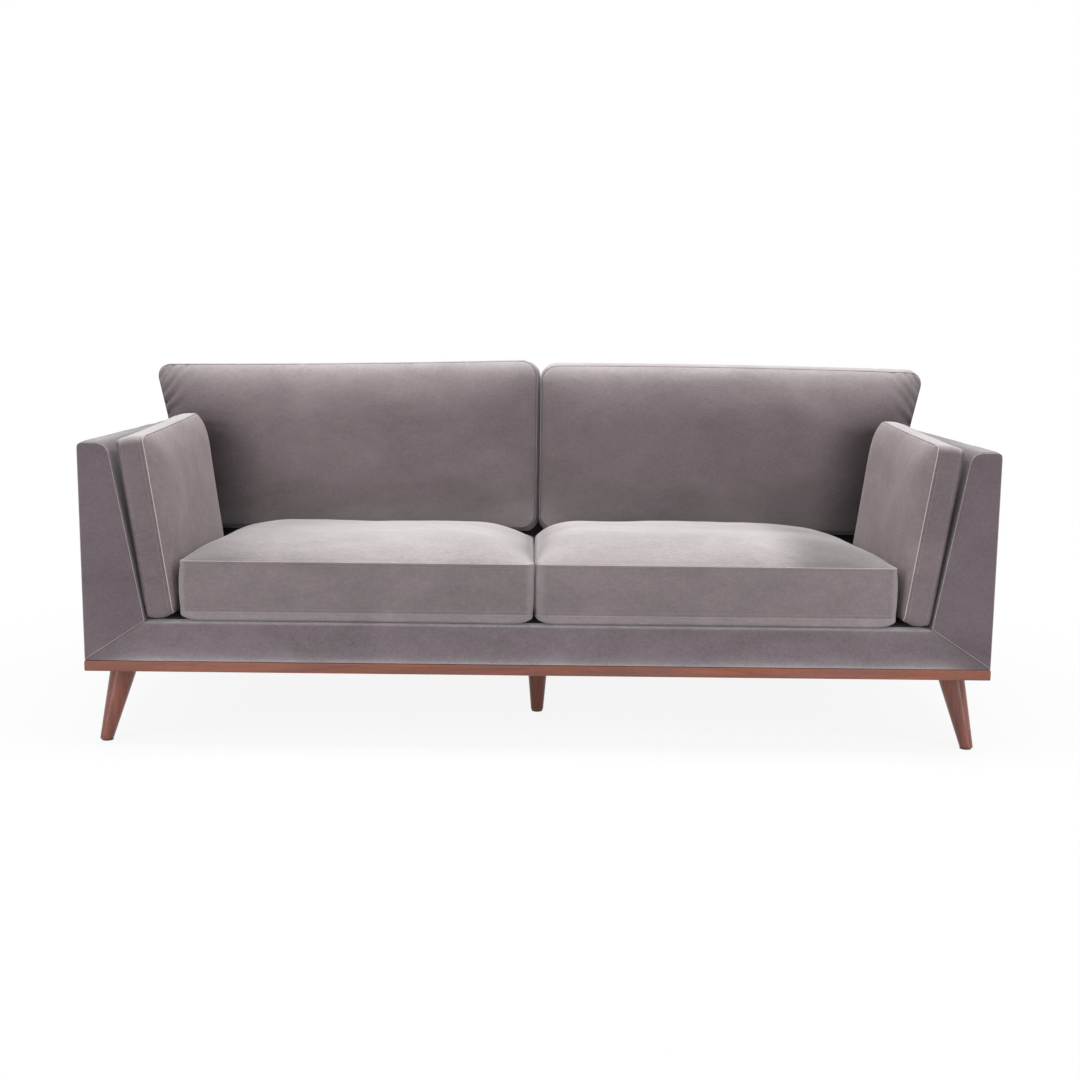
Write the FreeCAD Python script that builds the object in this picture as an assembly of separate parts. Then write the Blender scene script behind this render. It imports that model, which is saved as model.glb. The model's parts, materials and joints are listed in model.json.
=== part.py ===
import FreeCAD, Part
import os
from math import cos, hypot, radians, sin, sqrt, tan

# Three-seater sofa: a stained wooden plinth on splayed legs, an upholstered frame with leaning arms,
# and six loose cushions. Millimetres. +Z is up, the sofa faces -Y, and the origin is on the floor
# under the middle of its footprint.

Vector = FreeCAD.Vector

# Overall sizes
sofa_width = 2100.0
sofa_depth = 890.0
leg_height = 175.0
arm_height = 706.0
back_height = 770.0

# Wooden plinth: four mitred rails, and a cross rail over the centre leg
plinth_thickness = 25.0
plinth_rail_width = 100.0
plinth_edge_radius = 3.0

# Legs: turned tapers, sawn level at both ends; the corner legs lean out over their feet
leg_top_diameter = 60.0
leg_foot_diameter = 31.0
leg_inset_x = 70.0
leg_inset_y = 82.0
leg_splay_x = 34.0
leg_splay_y = 35.0
centre_leg_setback = 358.0
glide_thickness = 3.0
glide_margin = 2.0

# Leg fixings: a bolt up through the plinth into a nut on top of the block above it
bolt_diameter = 8.0
bolt_depth_in_leg = 45.0
bolt_clearance = 0.3
nut_across_flats = 13.0
nut_height = 6.5
leg_block_length = 150.0
leg_block_height_share = 0.4

# Frame boards and rails
frame_thickness = 25.0
front_rail_depth = 45.0
side_rail_thickness = 50.0
side_rail_inset = 17.0
centre_rail_thickness = 45.0
arm_top_rail_height = 32.0
dust_cover_thickness = 1.5

# Seat deck: felt and cloth over elastic webbing, pitched down towards the back
deck_front_height = 295.0
deck_pitch = 2.5
deck_thickness = 8.0
webbing_width = 50.0
webbing_thickness = 2.0
seat_webbing_count = 12
cross_webbing_count = 4

# Upholstery: fabric over wadding on every outside face of the frame
cover_thickness = 12.0
fascia_edge_radius = 9.0

# Arms: upright outside face, leaning inside face
arm_top_width = 69.0
arm_lean = 10.2
arm_outer_radius = 14.0
arm_inner_radius = 23.0

# Back frame behind the cushions
back_recline = 7.0
back_top_depth = 104.0
back_edge_radius = 16.0
back_post_thickness = 28.0
back_post_spacing = 620.0
back_top_rail_height = 45.0
back_webbing_count = 4
back_webbing_low = 330.0
back_webbing_high = 680.0

# Air left round each loose cushion
cushion_gap = 0.6

# Rise of a crown: how far in from the seam, as shares of the cushion's short half side, and how high
full_crown_shares = ((0.0, 0.0), (0.05, 0.24), (0.14, 0.5), (0.3, 0.78), (0.52, 0.94), (0.78, 1.0))
thin_crown_shares = ((0.0, 0.0), (0.1, 0.45), (0.3, 0.82), (0.66, 1.0))
rest_inset_share = 0.08
foam_margin_share = 0.16

# Seat cushions
seat_end_setback = 222.0
seat_split = -12.0
seat_front_setback = 2.0
seat_boxing = 118.0
seat_crown = 66.0
seat_rest = 20.0
seat_corner_radius = 22.0
seat_bow_shares = (0.006, 0.006, 0.006, 0.006)

# Back cushions
back_split = 2.0
back_cushion_dip = 26.9
back_cushion_rise = 106.0
back_cushion_boxing = 104.0
back_cushion_crown = 42.0
back_cushion_rest = 8.0
back_cushion_corner_radius = 34.0
back_cushion_bow_shares = (0.0, 0.005, 0.005, 0.005)

# Arm cushions
arm_cushion_lean = 8.6
arm_cushion_base_setback = 308.0
arm_cushion_top_setback = 281.0
arm_cushion_front_rise = 12.0
arm_cushion_rear_rise = 31.0
arm_cushion_boxing = 58.0
arm_cushion_crown = 17.0
arm_cushion_rest = 6.0
arm_cushion_corner_radius = 20.0
arm_cushion_bow_shares = (0.006, 0.006, 0.006, 0.0)

# Overrun of every cutting shape
overrun = 60.0

half_width = sofa_width / 2
front = -sofa_depth / 2
rear = sofa_depth / 2
plinth_top = leg_height + plinth_thickness
leg_block_top = plinth_top + leg_block_height_share * (deck_front_height - plinth_top)
seat_end = half_width - seat_end_setback
inner_front = front + cover_thickness
inner_rear = rear - cover_thickness
arm_slope = tan(radians(arm_lean))
back_slope = tan(radians(back_recline))
deck_slope = tan(radians(deck_pitch))
rail_drop = deck_thickness + 2 * webbing_thickness
parts = {}


def rounded_edges(points, radii, place, bows=None):
    """Edges of a closed outline through flat points, with an arc at each corner that has a radius.
    A bow draws the side that follows its corner in towards the middle by that much."""
    count = len(points)
    starts, middles, ends = [], [], []
    for i, (x, y) in enumerate(points):
        ax, ay = points[i - 1][0] - x, points[i - 1][1] - y
        bx, by = points[(i + 1) % count][0] - x, points[(i + 1) % count][1] - y
        a_length, b_length = hypot(ax, ay), hypot(bx, by)
        ax, ay, bx, by = ax / a_length, ay / a_length, bx / b_length, by / b_length
        half_cosine = sqrt(max(0, (1 + ax * bx + ay * by) / 2))
        half_sine = sqrt(1 - half_cosine * half_cosine)
        reach = radii[i] * half_cosine / half_sine
        starts.append((x + ax * reach, y + ay * reach))
        ends.append((x + bx * reach, y + by * reach))
        middle_reach = 0
        if radii[i] > 0:
            middle_reach = radii[i] * (1 / half_sine - 1) / (2 * half_cosine)
        middles.append((x + (ax + bx) * middle_reach, y + (ay + by) * middle_reach))
    inward = 1 if turns_left(points) else -1
    edges = []
    for i in range(count):
        if radii[i] > 0:
            edges.append(Part.Arc(place(*starts[i]), place(*middles[i]), place(*ends[i])).toShape())
        a, b = ends[i], starts[(i + 1) % count]
        bow = bows[i] if bows else 0
        if bow > 0:
            dx, dy = b[0] - a[0], b[1] - a[1]
            push = inward * bow / hypot(dx, dy)
            middle = ((a[0] + b[0]) / 2 - dy * push, (a[1] + b[1]) / 2 + dx * push)
            edges.append(Part.Arc(place(*a), place(*middle), place(*b)).toShape())
        else:
            edges.append(Part.LineSegment(place(*a), place(*b)).toShape())
    return edges


def turns_left(points):
    """Whether the outline runs anticlockwise."""
    area = 0
    for i, (x, y) in enumerate(points):
        area += points[i - 1][0] * y - x * points[i - 1][1]
    return area > 0


def inset(points, distance):
    """The outline with every side moved in by distance, or out where it is negative."""
    side = 1 if turns_left(points) else -1
    lines = []
    for i, (x, y) in enumerate(points):
        nx, ny = points[(i + 1) % len(points)]
        length = hypot(nx - x, ny - y)
        dx, dy = (nx - x) / length, (ny - y) / length
        lines.append((x - dy * side * distance, y + dx * side * distance, dx, dy))
    moved = []
    for i, (x, y, dx, dy) in enumerate(lines):
        px, py, pdx, pdy = lines[i - 1]
        step = ((x - px) * dy - (y - py) * dx) / (pdx * dy - pdy * dx)
        moved.append((px + pdx * step, py + pdy * step))
    return moved


def prism(points, low, high, axis, radii=None):
    """Solid with one outline from low to high along x, y or z."""
    places = {
        "x": lambda a, b: Vector(low, a, b),
        "y": lambda a, b: Vector(a, low, b),
        "z": lambda a, b: Vector(a, b, low),
    }
    run = high - low
    runs = {"x": Vector(run, 0, 0), "y": Vector(0, run, 0), "z": Vector(0, 0, run)}
    wire = Part.Wire(rounded_edges(points, radii or [0] * len(points), places[axis]))
    return Part.Face(wire).extrude(runs[axis])


def block(x, y, z):
    """Box from three pairs of limits."""
    return Part.makeBox(x[1] - x[0], y[1] - y[0], z[1] - z[0], Vector(x[0], y[0], z[0]))


def on_deck(shape):
    """Tips a shape about the deck's front edge, so that it falls with the deck towards the back."""
    shape.rotate(Vector(0, front, deck_front_height), Vector(1, 0, 0), -deck_pitch)
    return shape


def deck_layer(low, high):
    """Layer between two heights over the deck's upper face, wider and longer than the sofa."""
    wide = half_width + overrun
    heights = (deck_front_height + low, deck_front_height + high)
    return on_deck(block((-wide, wide), (front - overrun, rear + overrun), heights))


def deck_slab(x, y, low, high):
    """Piece of such a layer with upright ends."""
    return deck_layer(low, high).common(block(x, y, (plinth_top, arm_height)))


def deck_height(y):
    """Height of the deck's upper face."""
    return deck_front_height - (y - front) * deck_slope


def under_deck(drop):
    """Everything under a plane that lies drop below the deck's upper face."""
    return deck_layer(-deck_front_height, -drop)


def over_deck():
    """Everything over the deck's upper face."""
    return deck_layer(0, back_height)


def mirrored(shape):
    """The same piece on the sofa's other side."""
    return shape.mirror(Vector(0, 0, 0), Vector(1, 0, 0))


def on_both_sides(name, right_shape):
    """A pair of handed pieces, from the right one."""
    parts["right_" + name] = right_shape
    parts["left_" + name] = mirrored(right_shape)


def arm_inside(height, sink=0.0):
    """X of the arm's leaning inside face at a height, or of a plane sunk into the arm."""
    return half_width - arm_top_width - (arm_height - height) * arm_slope + sink / cos(radians(arm_lean))


def back_face(height, sink=0.0):
    """Y of the back's reclined front face at a height, or of a plane sunk into the back."""
    return rear - back_top_depth - (back_height - height) * back_slope + sink / cos(radians(back_recline))


def between_arms(sink, z, y):
    """Slab across the sofa whose ends lie in the arms' inside faces, or sunk into them."""
    low, high = arm_inside(z[0], sink), arm_inside(z[1], sink)
    return prism([(-low, z[0]), (low, z[0]), (high, z[1]), (-high, z[1])], y[0], y[1], "y")


def back_wedge(front_sink, rear_sink, z, ends):
    """Slice of the back between two heights, wedge-shaped from the side."""
    outline = [
        (back_face(z[0], front_sink), z[0]),
        (rear - rear_sink, z[0]),
        (rear - rear_sink, z[1]),
        (back_face(z[1], front_sink), z[1]),
    ]
    return prism(outline, ends[0], ends[1], "x")


# The plinth's four rails are one board ring with eased outer arrises, cut apart at the mitres.
def make_plinth():
    inner_x, inner_y = half_width - plinth_rail_width, rear - plinth_rail_width
    corners = [(-half_width, front), (half_width, front), (half_width, rear), (-half_width, rear)]
    inner_corners = [(-inner_x, -inner_y), (inner_x, -inner_y), (inner_x, inner_y), (-inner_x, inner_y)]
    board = prism(corners, leg_height, plinth_top, "z")
    arrises = [edge for edge in board.Edges if edge.BoundBox.ZLength < plinth_edge_radius]
    board = board.makeFillet(plinth_edge_radius, arrises)
    for i, side in enumerate(("front", "right", "rear", "left")):
        following = (i + 1) % len(corners)
        outline = [corners[i], corners[following], inner_corners[following], inner_corners[i]]
        parts["plinth_" + side + "_rail"] = prism(outline, leg_height, plinth_top, "z").common(board)
    half_rail = plinth_rail_width / 2
    parts["plinth_cross_rail"] = block((-half_rail, half_rail), (-inner_y, inner_y), (leg_height, plinth_top))
    cloth_z = (plinth_top - dust_cover_thickness, plinth_top)
    halves = [
        block((-inner_x, -half_rail), (-inner_y, inner_y), cloth_z),
        block((half_rail, inner_x), (-inner_y, inner_y), cloth_z),
    ]
    parts["dust_cover"] = Part.makeCompound(halves)


def leg_places():
    """Middle of the top and middle of the foot of each leg: four at the corners and one upright between."""
    top_x, top_y = half_width - leg_inset_x, rear - leg_inset_y
    foot_x, foot_y = top_x + leg_splay_x, top_y + leg_splay_y
    middle = (0, front + centre_leg_setback)
    places = [(middle, middle)]
    for sy in (-1, 1):
        for sx in (-1, 1):
            places.append(((sx * top_x, sy * top_y), (sx * foot_x, sy * foot_y)))
    return places


def tapered_leg(top, foot):
    """Turned taper on the line from foot to top, sawn level under the plinth and over the glide."""
    line = Vector(top[0] - foot[0], top[1] - foot[1], leg_height)
    length = line.Length
    growth = (leg_top_diameter - leg_foot_diameter) / 2 / length
    start = Vector(foot[0], foot[1], 0) - line * (overrun / length)
    low_radius = leg_foot_diameter / 2 - growth * overrun
    high_radius = leg_top_diameter / 2 + growth * overrun
    taper = Part.makeCone(low_radius, high_radius, length + 2 * overrun, start, line)
    wide = half_width + overrun
    level = block((-wide, wide), (front - overrun, rear + overrun), (glide_thickness, leg_height))
    return taper.common(level)


# Each leg's bolt passes up through the plinth and the block above it, and a nut draws it tight.
def make_legs():
    legs, bolts, nuts, glides, blocks, holes = [], [], [], [], [], []
    bolt_low = leg_height - bolt_depth_in_leg
    bolt_length = leg_block_top + nut_height - bolt_low
    block_x = (arm_inside(plinth_top) - side_rail_inset + side_rail_thickness,
               half_width - cover_thickness - frame_thickness)
    board_face = rear - cover_thickness - frame_thickness
    corner = block(block_x, (board_face - leg_block_length, board_face), (plinth_top, leg_block_top))
    for top, foot in leg_places():
        start = Vector(top[0], top[1], bolt_low)
        bolts.append(Part.makeCylinder(bolt_diameter / 2, bolt_length, start))
        hole = Part.makeCylinder(bolt_diameter / 2 + bolt_clearance, bolt_length, start)
        holes.append(hole)
        legs.append(tapered_leg(top, foot).cut(hole))
        glide_radius = leg_foot_diameter / 2 - glide_margin
        glides.append(Part.makeCylinder(glide_radius, glide_thickness, Vector(foot[0], foot[1], 0)))
        circle = nut_across_flats / sqrt(3)
        turns = [radians(a) for a in range(0, 360, 60)]
        flats = [(top[0] + circle * cos(turn), top[1] + circle * sin(turn)) for turn in turns]
        nuts.append(prism(flats, leg_block_top, leg_block_top + nut_height, "z").cut(hole))
        if top[0] != 0:
            chock = corner if top[0] > 0 else mirrored(corner)
            if top[1] < 0:
                chock = chock.mirror(Vector(0, 0, 0), Vector(0, 1, 0))
            blocks.append(chock.cut(hole))
    parts["legs"] = Part.makeCompound(legs)
    parts["leg_blocks"] = Part.makeCompound(blocks)
    parts["leg_bolts"] = Part.makeCompound(bolts)
    parts["leg_nuts"] = Part.makeCompound(nuts)
    parts["foot_glides"] = Part.makeCompound(glides)
    for side in ("front", "rear", "left", "right", "cross"):
        rail = "plinth_" + side + "_rail"
        parts[rail] = parts[rail].cut(holes)
    return holes


def arm_outline(sink, foot):
    """The arm's wedge in x and z, sunk in from its upholstered faces, standing at height foot."""
    top = arm_height - sink
    return [
        (half_width - sink, plinth_top),
        (half_width - sink, top),
        (arm_inside(top, sink), top),
        (arm_inside(foot, sink), foot),
    ]


# A wedge-shaped board closes the arm at each end, with a rail along the top and one at the foot.
def make_arm_frames():
    board = arm_outline(cover_thickness, plinth_top)
    run = (inner_front + frame_thickness, inner_rear - frame_thickness)
    on_both_sides("arm_front_board", prism(board, inner_front, run[0], "y"))
    on_both_sides("arm_rear_board", prism(board, run[1], inner_rear, "y"))
    top = arm_height - cover_thickness
    low = top - arm_top_rail_height
    outside = half_width - cover_thickness
    top_rail = [(outside, low), (outside, top), (arm_inside(top, cover_thickness), top),
                (arm_inside(low, cover_thickness), low)]
    on_both_sides("arm_top_rail", prism(top_rail, run[0], run[1], "y"))
    low_rail = block((outside - frame_thickness, outside), run, (plinth_top, deck_front_height))
    on_both_sides("arm_low_rail", low_rail)


# The seat frame: a box of rails on the plinth, whose tops lie in the plane of the deck.
def make_seat_frame(bolt_holes):
    front_run = (inner_front, inner_front + front_rail_depth)
    rear_run = (inner_rear - frame_thickness, inner_rear)
    z = (plinth_top, deck_front_height)
    front_rail = between_arms(cover_thickness, z, front_run)
    parts["seat_front_rail"] = front_rail.common(under_deck(rail_drop))
    parts["base_rear_rail"] = between_arms(cover_thickness, z, rear_run).common(under_deck(rail_drop))
    inner_x = arm_inside(plinth_top) - side_rail_inset
    side_rail = block((inner_x, inner_x + side_rail_thickness), (front_run[1], rear_run[0]), z)
    side_rail = side_rail.common(under_deck(deck_thickness + webbing_thickness))
    parts["seat_side_rails"] = Part.makeCompound([side_rail, mirrored(side_rail)])
    seat_back = back_face(deck_height(rear))
    back_rail = block((-inner_x, inner_x), (seat_back, seat_back + frame_thickness), z)
    parts["seat_back_rail"] = back_rail.common(under_deck(rail_drop))
    half_rail = centre_rail_thickness / 2
    centre_rail = block((-half_rail, half_rail), (front_run[1], seat_back), (plinth_top, leg_block_top))
    parts["seat_centre_rail"] = centre_rail.common(under_deck(rail_drop)).cut(bolt_holes)


def spread(low, high, count):
    """Evenly spaced places from low to high."""
    return [low + (high - low) * i / (count - 1) for i in range(count)]


# Elastic webbing runs front to back, with cross straps over it; the deck lies on both.
def make_seat_deck():
    inner_x = arm_inside(plinth_top) - side_rail_inset
    outer_x = inner_x + side_rail_thickness
    deck_y = (inner_front + frame_thickness, back_face(deck_height(rear)) + frame_thickness)
    half_strap = webbing_width / 2
    straps = []
    for x in spread(-inner_x + webbing_width, inner_x - webbing_width, seat_webbing_count):
        low = -deck_thickness - 2 * webbing_thickness
        straps.append(deck_slab((x - half_strap, x + half_strap), deck_y, low, low + webbing_thickness))
    parts["seat_webbing"] = Part.makeCompound(straps)
    straps = []
    first, last = deck_y[0] + front_rail_depth + webbing_width, deck_y[1] - front_rail_depth - webbing_width
    for y in spread(first, last, cross_webbing_count):
        low = -deck_thickness - webbing_thickness
        straps.append(deck_slab((-outer_x, outer_x), (y - half_strap, y + half_strap), low, -deck_thickness))
    parts["seat_cross_webbing"] = Part.makeCompound(straps)
    parts["seat_deck"] = deck_slab((-outer_x, outer_x), deck_y, -deck_thickness, 0)


# Posts stand at the ends and between them, notched round the rails at their feet.
def make_back_frame():
    top = back_height - cover_thickness
    rail_low = top - back_top_rail_height
    frame_sink = cover_thickness + webbing_thickness
    wedge_z = (plinth_top, top)
    span = (-half_width, half_width)
    depths = (front, rear)
    wedge = back_wedge(frame_sink, cover_thickness, wedge_z, span)
    feet = [parts[name] for name in ("seat_back_rail", "base_rear_rail", "seat_side_rails", "seat_deck",
                                     "seat_webbing", "seat_cross_webbing")]
    whole = between_arms(-cover_thickness, wedge_z, depths)
    core = between_arms(-cover_thickness - back_post_thickness, wedge_z, depths)
    posts = [wedge.common(whole.cut(core)).cut(feet)]
    half_post = back_post_thickness / 2
    for x in (-back_post_spacing / 2, back_post_spacing / 2):
        post = back_wedge(frame_sink, cover_thickness, (plinth_top, rail_low), (x - half_post, x + half_post))
        posts.append(post.cut(feet))
    parts["back_posts"] = Part.makeCompound(posts)
    rail = back_wedge(frame_sink, cover_thickness, (rail_low, top), span)
    parts["back_top_rail"] = rail.common(core)
    straps = []
    half_strap = webbing_width / 2
    for z in spread(back_webbing_low, back_webbing_high, back_webbing_count):
        strap_z = (z - half_strap, z + half_strap)
        outline = [(back_face(strap_z[0], cover_thickness), strap_z[0]),
                   (back_face(strap_z[0], frame_sink), strap_z[0]),
                   (back_face(strap_z[1], frame_sink), strap_z[1]),
                   (back_face(strap_z[1], cover_thickness), strap_z[1])]
        straps.append(prism(outline, -half_width, half_width, "x").common(whole))
    parts["back_webbing"] = Part.makeCompound(straps)


# The front fascia meets the arm facings at a mitre and turns back over the front rail.
def make_fascia():
    inner = arm_inside(deck_front_height)
    outline = [(-half_width, plinth_top), (half_width, plinth_top), (inner, deck_front_height),
               (-inner, deck_front_height)]
    panel = prism(outline, front, inner_front, "y")
    strip_y = (front, inner_front + frame_thickness)
    strip = between_arms(cover_thickness, (plinth_top, deck_front_height), (inner_front, strip_y[1]))
    strip = strip.common(under_deck(0)).cut(under_deck(rail_drop))
    fascia = panel.common(under_deck(0)).fuse(strip).removeSplitter()
    arris = [
        edge for edge in fascia.Edges
        if edge.BoundBox.XLength > inner and edge.BoundBox.YMax < inner_front
        and edge.BoundBox.ZMax > deck_front_height - cover_thickness
    ]
    parts["front_fascia"] = fascia.makeFillet(fascia_edge_radius, arris)


# Each arm is covered by a facing at both ends, an outside panel, and an inside panel that rolls over the top.
def make_arm_covers():
    radii = [0, arm_outer_radius, arm_inner_radius, 0]
    front_outline = arm_outline(0, deck_front_height)
    on_both_sides("arm_front_facing", prism(front_outline, front, inner_front, "y", radii))
    on_both_sides("arm_rear_facing", prism(arm_outline(0, plinth_top), inner_rear, rear, "y", radii))
    top = arm_height - cover_thickness
    outside = block((half_width - cover_thickness, half_width), (inner_front, inner_rear), (plinth_top, top))
    on_both_sides("arm_outside_panel", outside)
    skin = prism(arm_outline(0, plinth_top), inner_front, inner_rear, "y", radii)
    hollow = prism(arm_outline(cover_thickness, plinth_top), inner_front, inner_rear, "y")
    on_both_sides("arm_inside_panel", skin.cut(hollow).cut(outside).common(over_deck()))


# The back is covered by a front panel that rolls over the top, two end panels and an outside panel.
def make_back_covers():
    top = back_height - cover_thickness
    outside_z = (plinth_top, top)
    parts["back_outside_panel"] = between_arms(0, outside_z, (inner_rear, rear))
    low = plinth_top
    outline = [(back_face(low), low), (rear, low), (rear, back_height), (back_face(back_height), back_height)]
    radii = [0, 0, back_edge_radius, back_edge_radius]
    span = (-half_width, half_width)
    skin = prism(outline, span[0], span[1], "x", radii)
    hollow = back_wedge(cover_thickness, -overrun, outside_z, span)
    whole = between_arms(0, (plinth_top, back_height), (front, rear))
    parts["back_inside_panel"] = skin.cut(hollow).common(whole).common(over_deck())
    inner = between_arms(-cover_thickness, outside_z, (front, rear))
    ends = back_wedge(cover_thickness, cover_thickness, outside_z, span)
    parts["back_end_panels"] = ends.common(whole.cut(inner)).common(over_deck())


def band(low_edges, high_edges):
    """Skin between two outlines with as many edges: flat between straight sides, ruled where one is an
    arc."""
    faces = []
    for low, high in zip(low_edges, high_edges):
        ends = []
        for edge in (low, high):
            ends += [edge.valueAt(edge.FirstParameter), edge.valueAt(edge.LastParameter)]
        if isinstance(low.Curve, Part.Line) and isinstance(high.Curve, Part.Line):
            faces.append(Part.Face(Part.makePolygon([ends[0], ends[1], ends[3], ends[2], ends[0]])))
        else:
            faces.append(Part.makeRuledSurface(low, high))
    return faces


def cushion(name, points, boxing, crown, rest, radius, bow_shares, crown_shares, place):
    """Boxed cushion as a closed skin: a face flattened where it rests, the sides from seam to seam, and a
    crown. The seams are drawn in between the corners. The foam lies face to face in a pocket of the cover."""
    spans = [max(p[axis] for p in points) - min(p[axis] for p in points) for axis in (0, 1)]
    half_side = min(spans) / 2
    levels = [(rest_inset_share, 0), (0, rest)]
    for inset_share, height_share in crown_shares:
        levels.append((inset_share, rest + boxing + height_share * crown))
    outlines = []
    for inset_share, level in levels:
        section = inset(points, inset_share * half_side)
        bows = []
        for i, (x, y) in enumerate(section):
            following = section[(i + 1) % len(section)]
            bows.append(bow_shares[i] * hypot(following[0] - x, following[1] - y) if inset_share == 0 else 0)
        radii = [radius] * len(section)
        outlines.append(rounded_edges(section, radii, lambda a, b: Vector(a, b, level), bows))
    faces = [Part.Face(Part.Wire(outlines[0])), Part.Face(Part.Wire(outlines[-1]))]
    for low_edges, high_edges in zip(outlines, outlines[1:]):
        faces += band(low_edges, high_edges)
    skin = Part.makeCompound(faces)
    skin.sewShape()
    body = Part.Solid(Part.Shell(skin.Faces))
    if body.Volume < 0:
        body.reverse()
    foam = prism(inset(points, foam_margin_share * half_side), rest, rest + boxing, "z")
    parts[name + "_cover"] = place(body.cut(foam))
    parts[name + "_foam"] = place(foam)


def framed(origin, u, v, w):
    """Move from a cushion's own directions to the sofa's."""
    rows = (u.x, v.x, w.x, origin.x, u.y, v.y, w.y, origin.y, u.z, v.z, w.z, origin.z, 0, 0, 0, 1)
    matrix = FreeCAD.Matrix(*rows)

    def move(shape):
        shape.transformShape(matrix)
        return shape

    return move


def make_seat_cushions():
    lowest = deck_front_height + cushion_gap
    y = (front + seat_front_setback, back_face(deck_height(rear)) - cushion_gap)
    limits = {
        "left": (-seat_end, seat_split - cushion_gap / 2),
        "right": (seat_split + cushion_gap / 2, seat_end),
    }
    lift = FreeCAD.Matrix()
    lift.move(Vector(0, 0, lowest))

    def place(shape):
        shape.transformShape(lift)
        return on_deck(shape)

    for side, x in limits.items():
        outline = [(x[0], y[0]), (x[1], y[0]), (x[1], y[1]), (x[0], y[1])]
        cushion(side + "_seat_cushion", outline, seat_boxing, seat_crown, seat_rest, seat_corner_radius,
                seat_bow_shares, full_crown_shares, place)


def make_back_cushions():
    tilt = radians(back_recline)
    seat_thickness = seat_rest + seat_boxing + seat_crown
    base = deck_height(back_face(deck_front_height)) + cushion_gap + seat_thickness - back_cushion_dip
    seam_rise = (back_cushion_rest + back_cushion_boxing) * sin(tilt)
    height = (back_height + back_cushion_rise - base - seam_rise) / cos(tilt)
    low_x = arm_inside(base, -cushion_gap)
    top_x = arm_inside(base + height * cos(tilt), -cushion_gap)
    origin = Vector(0, back_face(base, -cushion_gap), base)
    move = framed(origin, Vector(1, 0, 0), Vector(0, sin(tilt), cos(tilt)), Vector(0, -cos(tilt), sin(tilt)))
    for side, sign in (("left", -1), ("right", 1)):
        split = back_split + sign * cushion_gap / 2
        outline = [(split, 0), (sign * low_x, 0), (sign * top_x, height), (split, height)]
        cushion(side + "_back_cushion", outline, back_cushion_boxing, back_cushion_crown, back_cushion_rest,
                back_cushion_corner_radius, back_cushion_bow_shares, full_crown_shares, move)


def make_arm_cushions():
    lean = radians(arm_cushion_lean)
    lowest = deck_front_height + cushion_gap
    origin = Vector(arm_inside(lowest, -cushion_gap), front, lowest)
    move = framed(origin, Vector(0, -1, 0), Vector(sin(lean), 0, cos(lean)), Vector(-cos(lean), 0, sin(lean)))
    seam_rise = (arm_cushion_rest + arm_cushion_boxing) * sin(lean)
    front_top = (arm_height + arm_cushion_front_rise - lowest - seam_rise) / cos(lean)
    rear_top = (arm_height + arm_cushion_rear_rise - lowest - seam_rise) / cos(lean)
    base_depth, top_depth = sofa_depth - arm_cushion_base_setback, sofa_depth - arm_cushion_top_setback
    edge = -seat_front_setback
    outline = [
        (edge, 0),
        (edge, front_top),
        (-top_depth, rear_top),
        (-base_depth, -base_depth * deck_slope),
    ]
    cushion("right_arm_cushion", outline, arm_cushion_boxing, arm_cushion_crown, arm_cushion_rest,
            arm_cushion_corner_radius, arm_cushion_bow_shares, thin_crown_shares, move)
    for piece in ("_cover", "_foam"):
        parts["left_arm_cushion" + piece] = mirrored(parts["right_arm_cushion" + piece])


def make_sofa():
    make_plinth()
    bolt_holes = make_legs()
    make_arm_frames()
    make_seat_frame(bolt_holes)
    make_seat_deck()
    make_back_frame()
    make_fascia()
    make_arm_covers()
    make_back_covers()
    make_seat_cushions()
    make_back_cushions()
    make_arm_cushions()
    os.makedirs("parts", exist_ok=True)
    for name, shape in sorted(parts.items()):
        shape.exportStep("parts/" + name + ".step")
        print(name, len(shape.Solids), "solids", round(shape.Volume / 1e6, 3), "litres")


make_sofa()
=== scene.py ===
# %% [markdown]
# A three-seater sofa in grey-mauve velvet on a walnut-stained plinth. The frame file gives every piece its
# place and size. This lesson dresses it: each soft piece is worked out as whole numpy arrays, swollen by a
# short cloth simulation, sewn with beads and stitches, and given a velvet that shows its nap, with painted
# light and painted shade in its colour.

# %% Load the frame
import json
from dataclasses import dataclass
from math import ceil, cos, pi, radians, sin, tan

import bpy
import numpy as np
from mathutils import Matrix, Vector


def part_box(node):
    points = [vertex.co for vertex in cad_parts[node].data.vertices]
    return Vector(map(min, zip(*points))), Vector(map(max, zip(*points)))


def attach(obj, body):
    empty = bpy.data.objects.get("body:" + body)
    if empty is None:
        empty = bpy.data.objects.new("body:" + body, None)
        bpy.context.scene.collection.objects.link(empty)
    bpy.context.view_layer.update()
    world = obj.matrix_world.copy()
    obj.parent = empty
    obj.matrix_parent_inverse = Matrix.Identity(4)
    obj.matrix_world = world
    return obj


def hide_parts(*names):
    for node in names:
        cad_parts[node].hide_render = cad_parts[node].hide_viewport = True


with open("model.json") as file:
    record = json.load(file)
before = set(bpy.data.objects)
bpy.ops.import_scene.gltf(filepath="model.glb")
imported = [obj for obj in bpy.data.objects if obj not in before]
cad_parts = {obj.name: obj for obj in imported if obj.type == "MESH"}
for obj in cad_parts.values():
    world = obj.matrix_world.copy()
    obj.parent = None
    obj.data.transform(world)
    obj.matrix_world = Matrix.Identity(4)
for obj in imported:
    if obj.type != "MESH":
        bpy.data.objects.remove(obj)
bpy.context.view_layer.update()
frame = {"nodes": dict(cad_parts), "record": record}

print("frame loaded with", len(frame["nodes"]), "nodes")

# %% [markdown]
# The cushions lie in tipped planes: the deck falls to the back, the back leans away, and the arms and the
# cushions against them lean outwards. A piece could be built level and then turned, but a finished piece has
# to sit unturned at the origin. So a plane gets three unit directions, along it, up it and out of it, and
# the points are worked out in those.

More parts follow.
